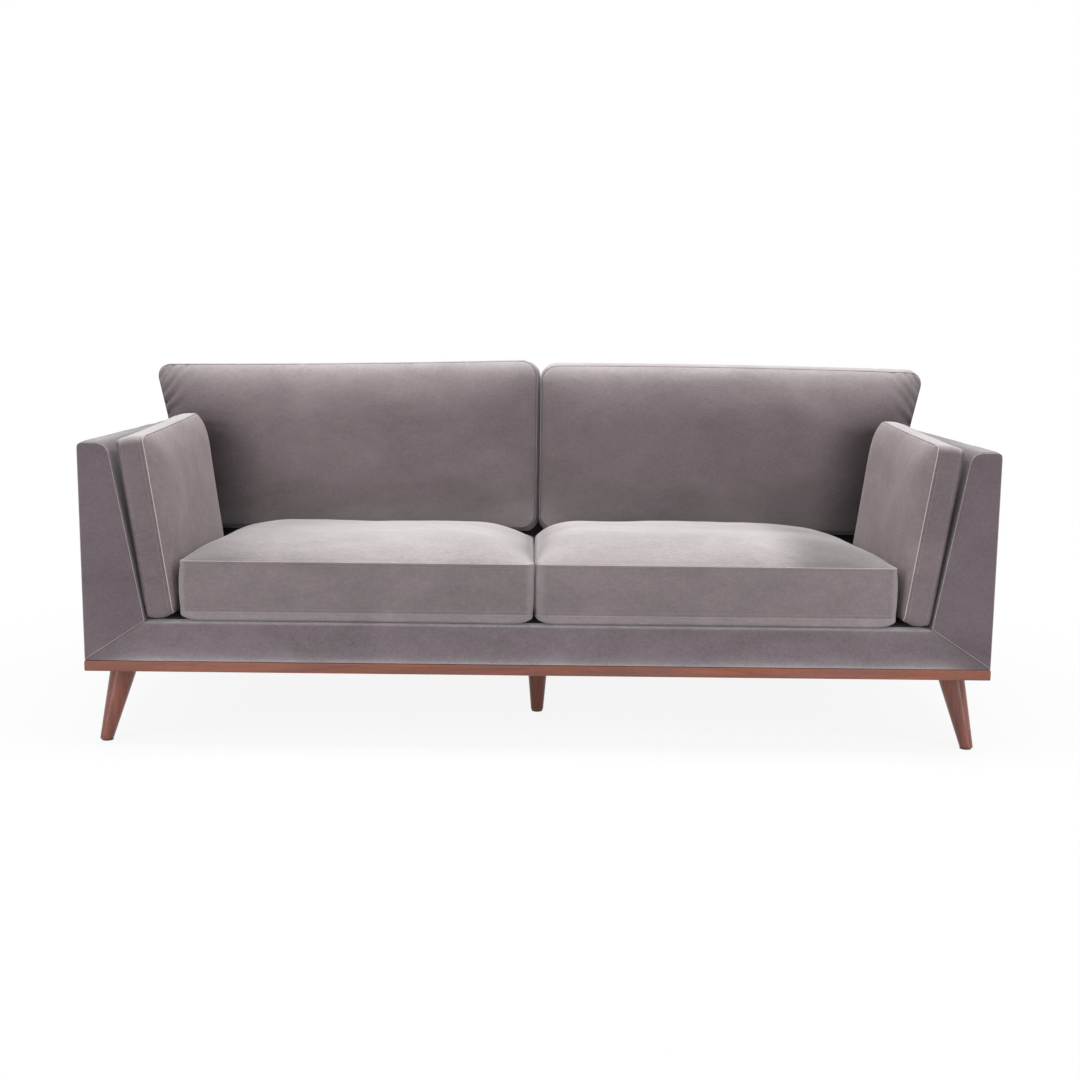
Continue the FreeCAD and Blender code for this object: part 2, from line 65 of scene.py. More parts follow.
# %% Directions
deck_pitch = radians(2.5)
back_recline = radians(7)
arm_lean = radians(10.2)
arm_cushion_lean = radians(8.6)
sides = {"left": -1, "right": 1}
seat_directions = np.array([(1, 0, 0), (0, cos(deck_pitch), -sin(deck_pitch)),
                            (0, sin(deck_pitch), cos(deck_pitch))])
back_directions = np.array([(1, 0, 0), (0, sin(back_recline), cos(back_recline)),
                            (0, -cos(back_recline), sin(back_recline))])
print("out of the seat", seat_directions[2].round(3), "out of the back", back_directions[2].round(3))

# %% The frame's own sizes


def corners_of(node):
    """Every vertex of a node in the frame, as one array of rows x, y, z."""
    mesh = frame["nodes"][node].data
    flat = np.empty(len(mesh.vertices) * 3)
    mesh.vertices.foreach_get("co", flat)
    return flat.reshape(-1, 3)


def span(nodes, direction):
    """Lowest and highest place of some nodes along a direction: the dot product of each vertex with it."""
    along = np.concatenate([corners_of(node) for node in nodes]) @ np.asarray(direction, float)
    return along.min(), along.max()


def arm_inside(height):
    """X of an arm's leaning inside face at a height: its X at the ground, plus the height times the tangent
    of the lean."""
    face = span(["right_arm_inside_panel"], (cos(arm_lean), 0, -sin(arm_lean)))[0]
    return face / cos(arm_lean) + height * tan(arm_lean)


half_width = span(["front_fascia"], (1, 0, 0))[1]
front, rear = span(["left_arm_front_facing", "left_arm_rear_facing"], (0, 1, 0))
plinth_bottom, plinth_top = span(["plinth_front_rail"], (0, 0, 1))
arm_top = span(["left_arm_front_facing"], (0, 0, 1))[1]
back_top = span(["back_inside_panel"], (0, 0, 1))[1]
fascia_top = span(["front_fascia"], (0, 0, 1))[1]
print("half width", round(half_width, 3), "arm top", round(arm_top, 3), "back top", round(back_top, 3))

# %% [markdown]
# Every upholstered piece here is a boxed form: two four-sided panels with rounded corners, and a strip
# between them. A block with bevelled edges would come near it, but its seams would have nowhere to run. A
# cushion, an arm and the back differ only in their outlines, their crowns and their depth, so one set of
# surfaces makes them all. The sides are numbered bottom, right, top and left, and a corner has the number of
# the side that starts there. Rows lie close together beside a seam and wider in the middle.

# %% Rows of a grid
seam_rows = np.array([0.0, 0.0012, 0.0025, 0.0042, 0.0062, 0.0085, 0.0115, 0.0155, 0.021])


def graded(length, step, rows=seam_rows):
    """Places along a length as shares of it: the close rows at both ends, and an even step between them."""
    rows = rows * min(1, length / (3 * rows[-1]))
    count = max(3, ceil((length - 2 * rows[-1]) / step) + 1)
    middle = np.linspace(rows[-1], length - rows[-1], count)
    return np.concatenate([rows[:-1], middle, (length - rows[:-1])[::-1]]) / length


print("a side of 0.6 m gets", len(graded(0.6, 0.0065)), "rows")

# %% A panel with rounded corners
neighbours = ((1, 3), (0, 2), (3, 1), (2, 0))


def rounded_panel(corners, radii, bows, s, t):
    """Flat grid over a four-sided outline. The shares s and t of its sides are mixed between the corners.
    Near a corner the little square of its radius is squeezed into a quarter disc, p times the root of
    1 - q*q/2, and each side is drawn in by its bow times 4 s (1 - s)."""
    s, t = np.meshgrid(s, t, indexing="ij")
    for i, (along, across) in enumerate(neighbours):
        share_s = radii[i] / np.linalg.norm(corners[along] - corners[i])
        share_t = radii[i] / np.linalg.norm(corners[across] - corners[i])
        near_s = s if i in (0, 3) else 1 - s
        near_t = t if i in (0, 1) else 1 - t
        p = np.clip(1 - near_s / share_s, 0, 1)
        q = np.clip(1 - near_t / share_t, 0, 1)
        new_s = np.where(p > 0, (1 - p * np.sqrt(1 - q * q / 2)) * share_s, near_s)
        new_t = np.where(q > 0, (1 - q * np.sqrt(1 - p * p / 2)) * share_t, near_t)
        s = new_s if i in (0, 3) else 1 - new_s
        t = new_t if i in (0, 1) else 1 - new_t
    s3, t3 = s[..., None], t[..., None]
    flat = (1 - s3) * (1 - t3) * corners[0] + s3 * (1 - t3) * corners[1]
    flat = flat + s3 * t3 * corners[2] + (1 - s3) * t3 * corners[3]
    arch_s, arch_t = 4 * s * (1 - s), 4 * t * (1 - t)
    pulls = (arch_s * (1 - t) ** 2, arch_t * s**2, arch_s * t**2, arch_t * (1 - s) ** 2)
    for i, pull in enumerate(pulls):
        side = corners[(i + 1) % 4] - corners[i]
        inward = np.array([-side[1], side[0]]) / np.linalg.norm(side)
        flat = flat + bows[i] * pull[..., None] * inward
    return flat


unit_square, both_ends = np.array([(0, 0), (1, 0), (1, 1), (0, 1)]), np.array([0.0, 1.0])
first_corner = rounded_panel(unit_square, [0.2] * 4, [0] * 4, both_ends, both_ends)[0, 0]
print("in a square of 1, a radius of 0.2 brings the first corner to", first_corner.round(3))

# %% Rims, crowns and faces


def rim(grid):
    """The outer rows of a grid as one closed loop, anticlockwise from the first corner."""
    return np.concatenate([grid[:-1, 0], grid[-1, :-1], grid[:0:-1, -1], grid[0, :0:-1]])


def loop_normals(loop):
    """Outward directions of a flat closed loop: the step from the point before to the next one, turned."""
    step = np.roll(loop, -1, 0) - np.roll(loop, 1, 0)
    turned = np.stack([step[:, 1], -step[:, 0]], 1)
    return turned / np.linalg.norm(turned, axis=1)[:, None]


def run_round(loop):
    """Distance from a loop's first point to each point, along the loop, as a column."""
    return np.concatenate([[0], np.cumsum(np.linalg.norm(np.diff(loop, axis=0), axis=1))])[:, None]


def rise(distance, reach, power, root=1.0):
    """Rise of a crown from its seam: (1 - (1 - d) ** power) ** root, where d is the distance as a share of
    the reach. A power of 2 with a root of a half is a quarter ellipse, which stands upright at the seam."""
    return (1 - (1 - np.clip(distance / reach, 0, 1)) ** power) ** root


def crown_over(distances, curves):
    """Product of the rises from all four sides, each with its own reach, power and root."""
    return np.prod([rise(d, *curve) for d, curve in zip(distances, curves)], 0)


def smooth_step(share):
    """Zero up to 0, one from 1, and 3 times the square less 2 times the cube between."""
    share = np.clip(share, 0, 1)
    return share * share * (3 - 2 * share)


def quads(index):
    """Faces of a grid of vertex numbers."""
    a, b, c, d = index[:-1, :-1], index[1:, :-1], index[1:, 1:], index[:-1, 1:]
    return np.stack([a, b, c, d], -1).reshape(-1, 4)


print("half way in, a round crown has risen by", round(float(rise(0.5, 1, 2, 0.5)), 3))

# %% Meshes


def joined(face, back, strip):
    """Closed skin from the three grids: the strip's first and last rows are the panels' own rims."""
    n, m = face.shape[:2]
    face_index = np.arange(n * m).reshape(n, m)
    back_index = face_index + n * m
    loops, rows = strip.shape[:2]
    strip_index = np.empty((loops + 1, rows), int)
    strip_index[:loops, 1:-1] = 2 * n * m + np.arange(loops * (rows - 2)).reshape(loops, rows - 2)
    strip_index[:loops, 0], strip_index[:loops, -1] = rim(back_index), rim(face_index)
    strip_index[loops] = strip_index[0]
    points = np.concatenate([face.reshape(-1, 3), back.reshape(-1, 3), strip[:, 1:-1].reshape(-1, 3)])
    return points, np.concatenate([quads(face_index), quads(back_index)[:, ::-1], quads(strip_index)])


def merged(parts):
    """Several (points, faces) as one."""
    offsets = np.cumsum([0] + [len(points) for points, _ in parts[:-1]])
    return (np.concatenate([points for points, _ in parts]),
            np.concatenate([faces + offset for (_, faces), offset in zip(parts, offsets)]))


def new_object(name, points, faces, material):
    """Smooth mesh object at the origin from rows of points and of vertex numbers."""
    mesh = bpy.data.meshes.new(name)
    mesh.from_pydata(points.tolist(), [], faces.tolist() if isinstance(faces, np.ndarray) else faces)
    mesh.shade_smooth()
    piece = bpy.data.objects.new(name, mesh)
    bpy.context.scene.collection.objects.link(piece)
    if material:
        mesh.materials.append(material)
    return piece


def marked(piece, attribute, values):
    """Writes one value for each point, which a material reads by the attribute's name."""
    piece.data.attributes.new(attribute, "FLOAT", "POINT").data.foreach_set("value", values)


def dress(pieces, body):
    """Hangs new pieces on a body."""
    for piece in pieces:
        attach(piece, body)


# %% The boxed form


class Boxed:
    """A boxed form in its own directions u, v and w: its outlines, and how far its panels lie apart."""

    def __init__(self, corners, radii, bows, low, high, step, rear_corners=None):
        """Keeps the outlines, and lays out rows at the step, close together beside the seams."""
        self.corners = np.asarray(corners, float)
        self.rear_corners = self.corners if rear_corners is None else np.asarray(rear_corners, float)
        self.radii, self.bows, self.low, self.high = radii, bows, low, high
        lengths = [np.linalg.norm(self.corners[(i + 1) % 4] - self.corners[i]) for i in range(4)]
        self.wide, self.tall = max(lengths[0], lengths[2]), max(lengths[1], lengths[3])
        self.shares = self.graded(step, seam_rows)

    def graded(self, step, rows):
        """Shares along the width, along the height and from the rear panel to the front one."""
        return [graded(length, step, rows) for length in (self.wide, self.tall, self.high - self.low)]

    def lay(self, s, t, w):
        """Flat front panel, rear panel and strip for given shares, and the outward directions of the rim."""
        face = rounded_panel(self.corners, self.radii, self.bows, s, t)
        back = rounded_panel(self.rear_corners, self.radii, self.bows, s, t)
        strip = rim(back)[:, None] * (1 - w[None, :, None]) + rim(face)[:, None] * w[None, :, None]
        heights = self.low + (self.high - self.low) * w
        heights = np.broadcast_to(heights[None, :, None], strip.shape[:2] + (1,))
        strip = np.concatenate([strip, heights], 2)
        lifted = [np.dstack([panel, np.full(panel.shape[:2], height)])
                  for panel, height in ((face, self.high), (back, self.low))]
        return *lifted, strip, loop_normals(rim(face))

    def from_sides(self, s, t):
        """Distance of each panel point from the bottom, right, top and left side."""
        s, t = np.meshgrid(s, t, indexing="ij")
        return t * self.tall, (1 - s) * self.wide, (1 - t) * self.tall, s * self.wide


sample = Boxed(2 * unit_square, [0.2] * 4, [0] * 4, 0.0, 0.5, 0.1)
print("a form of 2 by 2 by 0.5 m is", sample.wide, "wide and", sample.tall, "tall")

# %% Left and right


def by_corner(sign, values):
    """Values of the four corners as drawn for the right side, or in the order of its mirror image."""
    return list(values) if sign > 0 else [values[i] for i in (1, 0, 3, 2)]


def by_side(sign, values):
    """Values of the four sides as drawn for the right side, or in the order of its mirror image."""
    return list(values) if sign > 0 else [values[i] for i in (0, 3, 2, 1)]


def outline(sign, corners):
    """Outline drawn for the right side of the sofa, or its mirror image for the left."""
    return [(sign * u, v) for u, v in by_corner(sign, corners)]


print("a mirrored square", outline(-1, [(0, 0), (1, 0), (1, 1), (0, 1)]))

# %% [markdown]
# Cloth under pressure between fixed seams swells in a way that no formula quite gives. Simulating the fine
# grid would take minutes, so each cushion is simulated once as a coarse skin. How far each point moved is
# then spread over the fine grid by smooth curves through the coarse rows, so the seams stay crisp while the
# panels keep the cloth's shape.

# %% Swelling by simulation
swell_step = 0.017
swell_seam_rows = np.array([0.0, 0.006])
swell_frames = 18
swell_values = {
    "quality": 6, "mass": 0.3, "tension_stiffness": 20, "compression_stiffness": 2, "shear_stiffness": 4,
    "bending_stiffness": 4, "use_pressure": True, "uniform_pressure_force": 4.0, "vertex_group_mass": "held",
}


def swell(name, points, faces, held, cap):
    """Runs cloth with inner pressure on a closed skin whose held points stay, and returns each point's move,
    whose size is the cap times the hyperbolic tangent of the size as a share of the cap."""
    piece = new_object(name, points, faces, None)
    piece.vertex_groups.new(name="held").add(np.flatnonzero(held).tolist(), 1.0, "REPLACE")
    cloth = piece.modifiers.new("cloth", "CLOTH")
    for key, value in swell_values.items():
        setattr(cloth.settings, key, value)
    cloth.settings.effector_weights.gravity = 0
    cloth.collision_settings.use_collision = False
    for number in range(1, swell_frames + 1):
        bpy.context.scene.frame_set(number)
    evaluated = piece.evaluated_get(bpy.context.evaluated_depsgraph_get())
    flat = np.empty(len(points) * 3)
    evaluated.data.vertices.foreach_get("co", flat)
    moved = flat.reshape(-1, 3) - points
    bpy.context.scene.frame_set(1)
    mesh = piece.data
    bpy.data.objects.remove(piece)
    bpy.data.meshes.remove(mesh)
    size = np.linalg.norm(moved, axis=1)[:, None]
    print(name, "swelled by up to", round(float(size.max()) * 1000, 1), "mm")
    return moved * cap * np.tanh(size / cap) / np.maximum(size, 1e-9)


# %% Curves through the coarse rows
softening_rounds = 5


def curve_weights(fine, coarse):
    """Matrix that carries values from coarse places to fine ones by cubic curves through the coarse ones."""
    weights = np.zeros((len(fine), len(coarse)))
    cell = np.clip(np.searchsorted(coarse, fine, side="right") - 1, 0, len(coarse) - 2)
    x = (fine - coarse[cell]) / (coarse[cell + 1] - coarse[cell])
    basis = (-0.5 * x**3 + x**2 - 0.5 * x, 1.5 * x**3 - 2.5 * x**2 + 1,
             -1.5 * x**3 + 2 * x**2 + 0.5 * x, 0.5 * x**3 - 0.5 * x**2)
    for k, values in enumerate(basis):
        np.add.at(weights, (np.arange(len(fine)), np.clip(cell + k - 1, 0, len(coarse) - 1)), values)
    return weights


def softened(grid):
    """Each row and column mixed with its neighbours, a quarter, a half and a quarter, so that no buckle as
    narrow as the coarse mesh is left."""
    for _ in range(softening_rounds):
        for axis in (0, 1):
            inner = [slice(None)] * 3
            inner[axis] = slice(1, -1)
            inner = tuple(inner)
            beside = np.roll(grid, 1, axis) + np.roll(grid, -1, axis)
            mixed = grid.copy()
            mixed[inner] = 0.5 * grid[inner] + 0.25 * beside[inner]
            grid = mixed
    return grid


print("half way between two coarse rows the weights are", curve_weights(np.array([1.5]), np.arange(4.0))[0])

# %% From the coarse skin to the fine grid


def around(s, t):
    """Place of each rim point on a run of four, one for each side of the outline."""
    edge = rim(np.stack(np.meshgrid(s, t, indexing="ij"), -1))
    on_side = (edge[:, 1] <= 0, edge[:, 0] >= 1, edge[:, 1] >= 1)
    return np.select(on_side, (edge[:, 0], 1 + edge[:, 1], 3 - edge[:, 0]), 4 - edge[:, 1])


def swelled(name, form, shaped, cap):
    """Moves of the face, the rear panel and the strip of a form: worked out on the coarse skin, and summed
    for each fine point under the curves' weights."""
    coarse = form.graded(swell_step, swell_seam_rows)
    face, back, strip = shaped(*coarse)
    n, m = face.shape[:2]
    loops, rows = strip.shape[:2]
    numbers = np.arange(n * m).reshape(n, m)
    points, faces = joined(face, back, strip)
    held = np.isin(np.arange(len(points)), np.concatenate([rim(numbers), rim(numbers) + n * m]))
    moved = swell(name, points, faces, held, cap)
    by_s, by_t, by_w = (curve_weights(fine, rough) for fine, rough in zip(form.shares, coarse))
    panels = [softened(moved[start : start + n * m].reshape(n, m, 3)) for start in (0, n * m)]
    face_moved, back_moved = (np.einsum("ai,bj,ijk->abk", by_s, by_t, panel, optimize=True)
                              for panel in panels)
    strip_moved = np.zeros((loops, rows, 3))
    strip_moved[:, 1:-1] = moved[2 * n * m :].reshape(loops, rows - 2, 3)
    fine_run, rough_run = around(*form.shares[:2]), around(*coarse[:2])
    by_loop = np.stack([np.interp(fine_run, np.append(rough_run, 4), np.append(column, column[0]))
                        for column in np.eye(loops)], 1)
    return face_moved, back_moved, np.einsum("ai,bj,ijk->abk", by_loop, by_w, strip_moved, optimize=True)


print("a square's corners lie at", around(both_ends, both_ends), "on the run of four")

# %% [markdown]
# Hand-made upholstery is never even. Slow waves stand for the filling, short puckers run into each seam, and
# at the outer top corners of the back cushions the cover is pulled into slanting folds. A bump in the
# material would leave the outline straight, so all of these move the skin itself.

# %% Unevenness
broad_wave, narrow_wave, wave_stretches = 0.33, 0.1, (0.7, 1.6)
pucker_waves = (0.027, 0.041, 0.19)
pucker_start, pucker_reach = 0.004, 0.014


def slow_waves(u, v, wave, seed):
    """Soft unevenness between about -1 and 1: a sum of six sine waves with drawn directions and phases."""
    random = np.random.default_rng(seed)
    ranges = ((0, pi), (0, 2 * pi), wave_stretches)
    angles, phases, stretches = (random.uniform(low, high, 6) for low, high in ranges)
    total = np.zeros(np.broadcast(u, v).shape)
    for angle, phase, stretch in zip(angles, phases, stretches):
        total += np.sin((u * cos(angle) + v * sin(angle)) * 2 * pi / (wave * stretch) + phase)
    return total / 3


def puckers(along, distance, seed):
    """Short folds that run into a seam: two sine waves along it that fade in from the seam and out again,
    and swell and die down with a third."""
    first, second = np.random.default_rng(seed).uniform(0, 2 * pi, 2)
    short, longer, slow = (along * 2 * pi / wave for wave in pucker_waves)
    ripple = np.sin(short + first) + np.sin(longer + second)
    uneven = 0.5 + 0.5 * np.sin(slow + second)
    return ripple * uneven * (1 - np.exp(-distance / pucker_start)) * np.exp(-distance / pucker_reach)


sampled = np.linspace(0, 1, 200)
print("slow waves reach", round(float(np.abs(slow_waves(sampled, 0 * sampled, broad_wave, 11)).max()), 2))

# %% Folds at a corner
# For each crease: where it starts down the cushion's side, how far it reaches inwards, and its slope.
fold_lines = ((0.036, 0.034, 1.35), (0.058, 0.05, 1.2), (0.082, 0.07, 1.05), (0.11, 0.055, 1.0),
              (0.14, 0.04, 0.85))
fold_width, fold_depths, fold_wander, wander_rate = 0.0052, (0.7, 1.1), 0.003, 75
ridge_height, ridge_offset, ridge_width = 0.4, 0.012, 0.007


def corner_folds(inward, down, seed):
    """Creases pulled from a cushion's side up and inward, each with a start, a length and a slope. A crease
    is a valley, the exponential of minus the squared distance from its line, with a lower ridge above it."""
    random = np.random.default_rng(seed)
    total = np.zeros(inward.shape)
    for start, length, slope in fold_lines:
        phase, depth = random.uniform(0, 2 * pi), random.uniform(*fold_depths)
        wander = fold_wander * np.sin(inward * wander_rate + phase)
        off = (down - start + slope * inward + wander) / np.hypot(1, slope)
        ridge = ridge_height * np.exp(-(((off + ridge_offset) / ridge_width) ** 2))
        total += depth * np.exp(-((inward / length) ** 2)) * (ridge - np.exp(-((off / fold_width) ** 2)))
    return total


print("each back cushion gets", len(fold_lines), "creases at its outer corner")

# %% [markdown]
# A material is a small net of nodes. Written out, each node and each link would take a line of its own. The
# helpers below make one node, feed it and hand back what it puts out, so that a material reads like a sum.

# %% Nodes by hand


def group_of(name, inputs, outputs):
    """Empty shader group with named sockets. Inputs are name: (type, value), outputs name: type."""
    group = bpy.data.node_groups.new(name, "ShaderNodeTree")
    for socket, (kind, value) in inputs.items():
        made = group.interface.new_socket(name=socket, in_out="INPUT", socket_type=kind)
        made.default_value = value
    for socket, kind in outputs.items():
        group.interface.new_socket(name=socket, in_out="OUTPUT", socket_type=kind)
    return group, group.nodes.new("NodeGroupInput").outputs, group.nodes.new("NodeGroupOutput").inputs


def node(tree, kind, feeds=(), output=0, **settings):
    """Makes a node with its settings, and feeds its inputs: each gets another node's output or a value.
    Returns one of its outputs."""
    made = tree.nodes.new("ShaderNode" + kind)
    for key, value in settings.items():
        setattr(made, key, value)
    for key, source in dict(feeds).items():
        if isinstance(source, bpy.types.NodeSocket):
            tree.links.new(source, made.inputs[key])
        else:
            made.inputs[key].default_value = source
    return made.outputs[output]


# %% Sums, noises, ranges and mixes


def maths(tree, operation, *terms):
    """Sum, product or power of its terms."""
    return node(tree, "Math", enumerate(terms), operation=operation)


def noise(tree, place, scale, detail, roughness=0.5, distortion=0.0):
    """Noise texture: its scale, its layers of detail, how rough they are and how far they are bent."""
    feeds = {"Vector": place, "Scale": scale, "Detail": detail, "Roughness": roughness,
             "Distortion": distortion}
    return node(tree, "TexNoise", feeds)


def scaled(tree, place, stretch):
    """Place times a stretch along each axis."""
    return node(tree, "VectorMath", {0: place, 1: stretch}, operation="MULTIPLY")


def ranged(tree, value, start, end):
    """Value carried from one range to another in a straight line, and held at the ends."""
    feeds = {"Value": value, "From Min": start[0], "From Max": start[1], "To Min": end[0], "To Max": end[1]}
    return node(tree, "MapRange", feeds)


def between(tree, share, low, high):
    """Mix of two values."""
    return node(tree, "Mix", {0: share, 2: low, 3: high}, data_type="FLOAT")


def between_colours(tree, share, first, second, blend_type="MIX"):
    """Mix of two colours."""
    return node(tree, "Mix", {0: share, 6: first, 7: second}, 2, data_type="RGBA", blend_type=blend_type)


# %% [markdown]
# Velvet is dark where one looks straight into the pile and pale where it is seen from the side, and patches
# where the nap lies another way are lighter or darker. Hair would show this, but millions of strands are
# slow and can't be exported, so a net of noises stands for the pile. The group below gives the colour, the
# roughness and the height of the pile. Into the colour it also paints light and shade: faces that look up,
# and places that an attribute marks, are mixed towards a paler colour as painted light, and places that a
# second attribute marks are darkened as painted shade. The sheen itself is set on each shader.

# %% Velvet
streak_share, down_thread_share = 0.3, 0.4
usual_noise, shade_range, thread_range = (0.3, 0.7), (-1.0, 1.0), (-0.8, 0.8)
# How far a face must look up before painted light makes it paler, and how fast it pales.
painted_light_from, painted_light_power = 0.15, 2.1
pile_roughness = (0.95, 0.78)
finish_outputs = {"Colour": "NodeSocketColor", "Roughness": "NodeSocketFloat", "Height": "NodeSocketFloat"}


def velvet_group():
    """Nap of a velvet: patches, streaks and threads vary the colour. As painted light the colour is mixed
    towards a paler one where the surface looks up or an attribute marks it, and as painted shade it is
    darkened where a second attribute marks it."""
    group, given, out = group_of("velvet_nap_and_painted_light", {
        "Colour": ("NodeSocketColor", (0.14, 0.11, 0.12, 1)),
        # The second colour is the paler one that painted light mixes towards.
        "Open Colour": ("NodeSocketColor", (0.4, 0.36, 0.36, 1)),
        "Nap": ("NodeSocketFloat", 0.3), "Streak": ("NodeSocketVector", (0.6, 1.0, 1.0))}, finish_outputs)
    place = node(group, "TexCoord", output="Object")
    laid = scaled(group, place, given["Streak"])
    patches = noise(group, laid, scale=6.5, detail=4.0, roughness=0.6, distortion=0.7)
    streaks = noise(group, laid, scale=45.0, detail=3.0, roughness=0.65, distortion=0.2)
    across, down = (noise(group, scaled(group, place, stretch), scale=330.0, detail=2.0, roughness=0.6)
                    for stretch in ((0.3, 0.3, 1.0), (1.0, 1.0, 0.3)))
    uneven = between(group, streak_share, patches, streaks)
    shade = ranged(group, uneven, usual_noise, shade_range)
    threads = ranged(group, between(group, down_thread_share, across, down), usual_noise, thread_range)
    amount = maths(group, "MULTIPLY_ADD", maths(group, "ADD", shade, threads), given["Nap"], 1.0)
    # Painted light: faces that look up, and points that an attribute marks, are mixed towards the paler
    # colour.
    facing = node(group, "SeparateXYZ", {0: node(group, "TexCoord", output="Normal")}, "Z")
    upward = maths(group, "POWER", ranged(group, facing, (painted_light_from, 1.0), (0.0, 1.0)), painted_light_power)
    painted_light, painted_shade_share = (node(group, "Attribute", output="Fac", attribute_name=name)
                     for name in ("painted_light", "pressed"))
    painted_light_share = maths(group, "MAXIMUM", upward, painted_light)
    painted_colour = between_colours(group, painted_light_share, given["Colour"], given["Open Colour"])
    # Painted shade: points that the attribute pressed marks are darkened.
    dimmed = maths(group, "MULTIPLY", amount, maths(group, "SUBTRACT", 1.0, painted_shade_share))
    tinted = node(group, "VectorMath", {0: painted_colour, "Scale": dimmed}, operation="SCALE")
    group.links.new(tinted, out["Colour"])
    group.links.new(ranged(group, uneven, (0.0, 1.0), pile_roughness), out["Roughness"])
    group.links.new(noise(group, place, scale=850.0, detail=2.0, roughness=0.7), out["Height"])
    return group


velvet_nap_and_painted_light = velvet_group()
print("velvet group of", len(velvet_nap_and_painted_light.nodes), "nodes")

# %% [markdown]
# The stain is thin enough to show the walnut's grain: long dark and pale streaks along the board, fine
# pores, and here and there a warmer patch. A photograph of a board would repeat itself and need unwrapping.
# Noise that is squeezed across the grain gives all of them at any size.

# %% Stained wood
pore_share, slow_share = 0.3, 0.35
tone_range, warm_range, wood_roughness = (0.33, 0.67), (0.48, 0.66), (0.3, 0.46)
warm_tint = (1.08, 0.93, 0.66, 1)


def wood_group():
    """Stained wood: long grain along one axis, fine pores, slow changes of tone and warmer patches."""
    group, given, out = group_of("stained_grain", {
        "Dark": ("NodeSocketColor", (0.06, 0.02, 0.012, 1)),
        "Light": ("NodeSocketColor", (0.2, 0.07, 0.04, 1)),
        "Stretch": ("NodeSocketVector", (1.0, 12.0, 12.0))}, finish_outputs)
    laid = scaled(group, node(group, "TexCoord", output="Object"), given["Stretch"])
    grain = noise(group, laid, scale=5.0, detail=6.0, roughness=0.62, distortion=0.6)
    pores = noise(group, laid, scale=42.0, detail=3.0, roughness=0.7)
    slow = noise(group, laid, scale=1.1, detail=2.0)
    streaked = between(group, pore_share, grain, pores)
    toned = ranged(group, between(group, slow_share, streaked, slow), tone_range, (0.0, 1.0))
    colour = between_colours(group, toned, given["Dark"], given["Light"])
    warmth = ranged(group, noise(group, laid, scale=3.2, detail=1.0), warm_range, (0.0, 1.0))
    warmed = between_colours(group, warmth, colour, warm_tint, "MULTIPLY")
    group.links.new(warmed, out["Colour"])
    group.links.new(ranged(group, pores, (0.0, 1.0), wood_roughness), out["Roughness"])
    group.links.new(streaked, out["Height"])
    return group


stained_grain = wood_group()
print("wood group of", len(stained_grain.nodes), "nodes")

# %% [markdown]
# A net of its own for each finish would repeat nearly all of it. Each finish is one of the two groups with
# its own values instead, and what is the same all over, such as the sheen of the pile or the thin coat of
# lacquer, is set on the shader. The colours were found by comparing renders with the photograph, panel by
# panel.

# %% Materials


def dressed(name, group, values, bump, bump_distance, **shader_values):
    """Material whose colour, roughness and bump come from a group. Constant values go on the shader."""
    material = bpy.data.materials.new(name)
    material.use_nodes = True
    tree = material.node_tree
    shader = tree.nodes["Principled BSDF"]
    made = tree.nodes.new("ShaderNodeGroup")
    made.node_tree = group
    for key, value in values.items():
        made.inputs[key].default_value = value
    relief = {"Height": made.outputs["Height"], "Strength": bump, "Distance": bump_distance}
    tree.links.new(made.outputs["Colour"], shader.inputs["Base Color"])
    tree.links.new(made.outputs["Roughness"], shader.inputs["Roughness"])
    tree.links.new(node(tree, "Bump", relief), shader.inputs["Normal"])
    for key, value in shader_values.items():
        shader.inputs[key.replace("_", " ")].default_value = value
    return material


sheen = {"Sheen_Weight": 0.7, "Sheen_Roughness": 0.3, "Sheen_Tint": (1.0, 0.965, 0.975, 1),
         "Specular_IOR_Level": 0.1}
# A weaker, warmer sheen for the arm cushions' faces, part of their copy of the velvet set to how the light
# falls there.
side_sheen = dict(sheen, Sheen_Weight=0.3, Sheen_Tint=(1.0, 0.92, 0.92, 1))
matt = {"Specular_IOR_Level": 0.1}


def pile(name, colour, painted_light_colour=(0.4, 0.36, 0.36), nap=0.16, bump=0.25, finish=sheen):
    """Velvet of a panel: its colour, the paler colour that its painted light mixes towards, and how far
    the nap varies it.
    """
    values = {"Colour": colour + (1,), "Open Colour": painted_light_colour + (1,), "Nap": nap}
    return dressed(name, velvet_nap_and_painted_light, values, bump, bump_distance=0.0006, **finish)


def sewn_edge(name, colour, finish=sheen):
    """Velvet of a bead in a seam, with a finer pile."""
    values = {"Colour": colour + (1,), "Nap": 0.12}
    return dressed(name, velvet_nap_and_painted_light, values, bump=0.2, bump_distance=0.0004, **finish)


# %% Velvets and threads
# The paler colour that painted light mixes the velvets towards.
painted_light_pile = (0.35, 0.322, 0.323)
velvet = pile("velvet", (0.151, 0.122, 0.1295), painted_light_pile)
# The frame and the fascia get their own copies of the velvet, set to the tone each shows in this light: the
# frame's is darker and hardly paler on top, which is painted shade.
frame_velvet = pile("frame_velvet", (0.131, 0.105, 0.118), (0.145, 0.131, 0.136))
fascia_velvet = pile("fascia_velvet", (0.153, 0.125, 0.138), (0.31, 0.285, 0.3), nap=0.2)
# The arm cushions' faces get a paler copy of the velvet with less sheen, set to the tone they show in this
# light: painted light and shade.
side_velvet = pile("side_velvet", (0.186, 0.152, 0.155), painted_light_pile, nap=0.2, bump=0.3, finish=side_sheen)
# The seats' bottom panels, whose front lip shows below the seam, get a paler copy: painted light, a
# reflection of the white floor and the sheen at a low angle.
floor_lit_velvet = pile("floor_lit_velvet", (0.235, 0.203, 0.216))
seam_velvet = sewn_edge("seam_velvet", (0.3, 0.255, 0.262))
welt = sewn_edge("welt", (0.3, 0.235, 0.228))
closed_seam = sewn_edge("closed_seam", (0.085, 0.068, 0.07), matt)
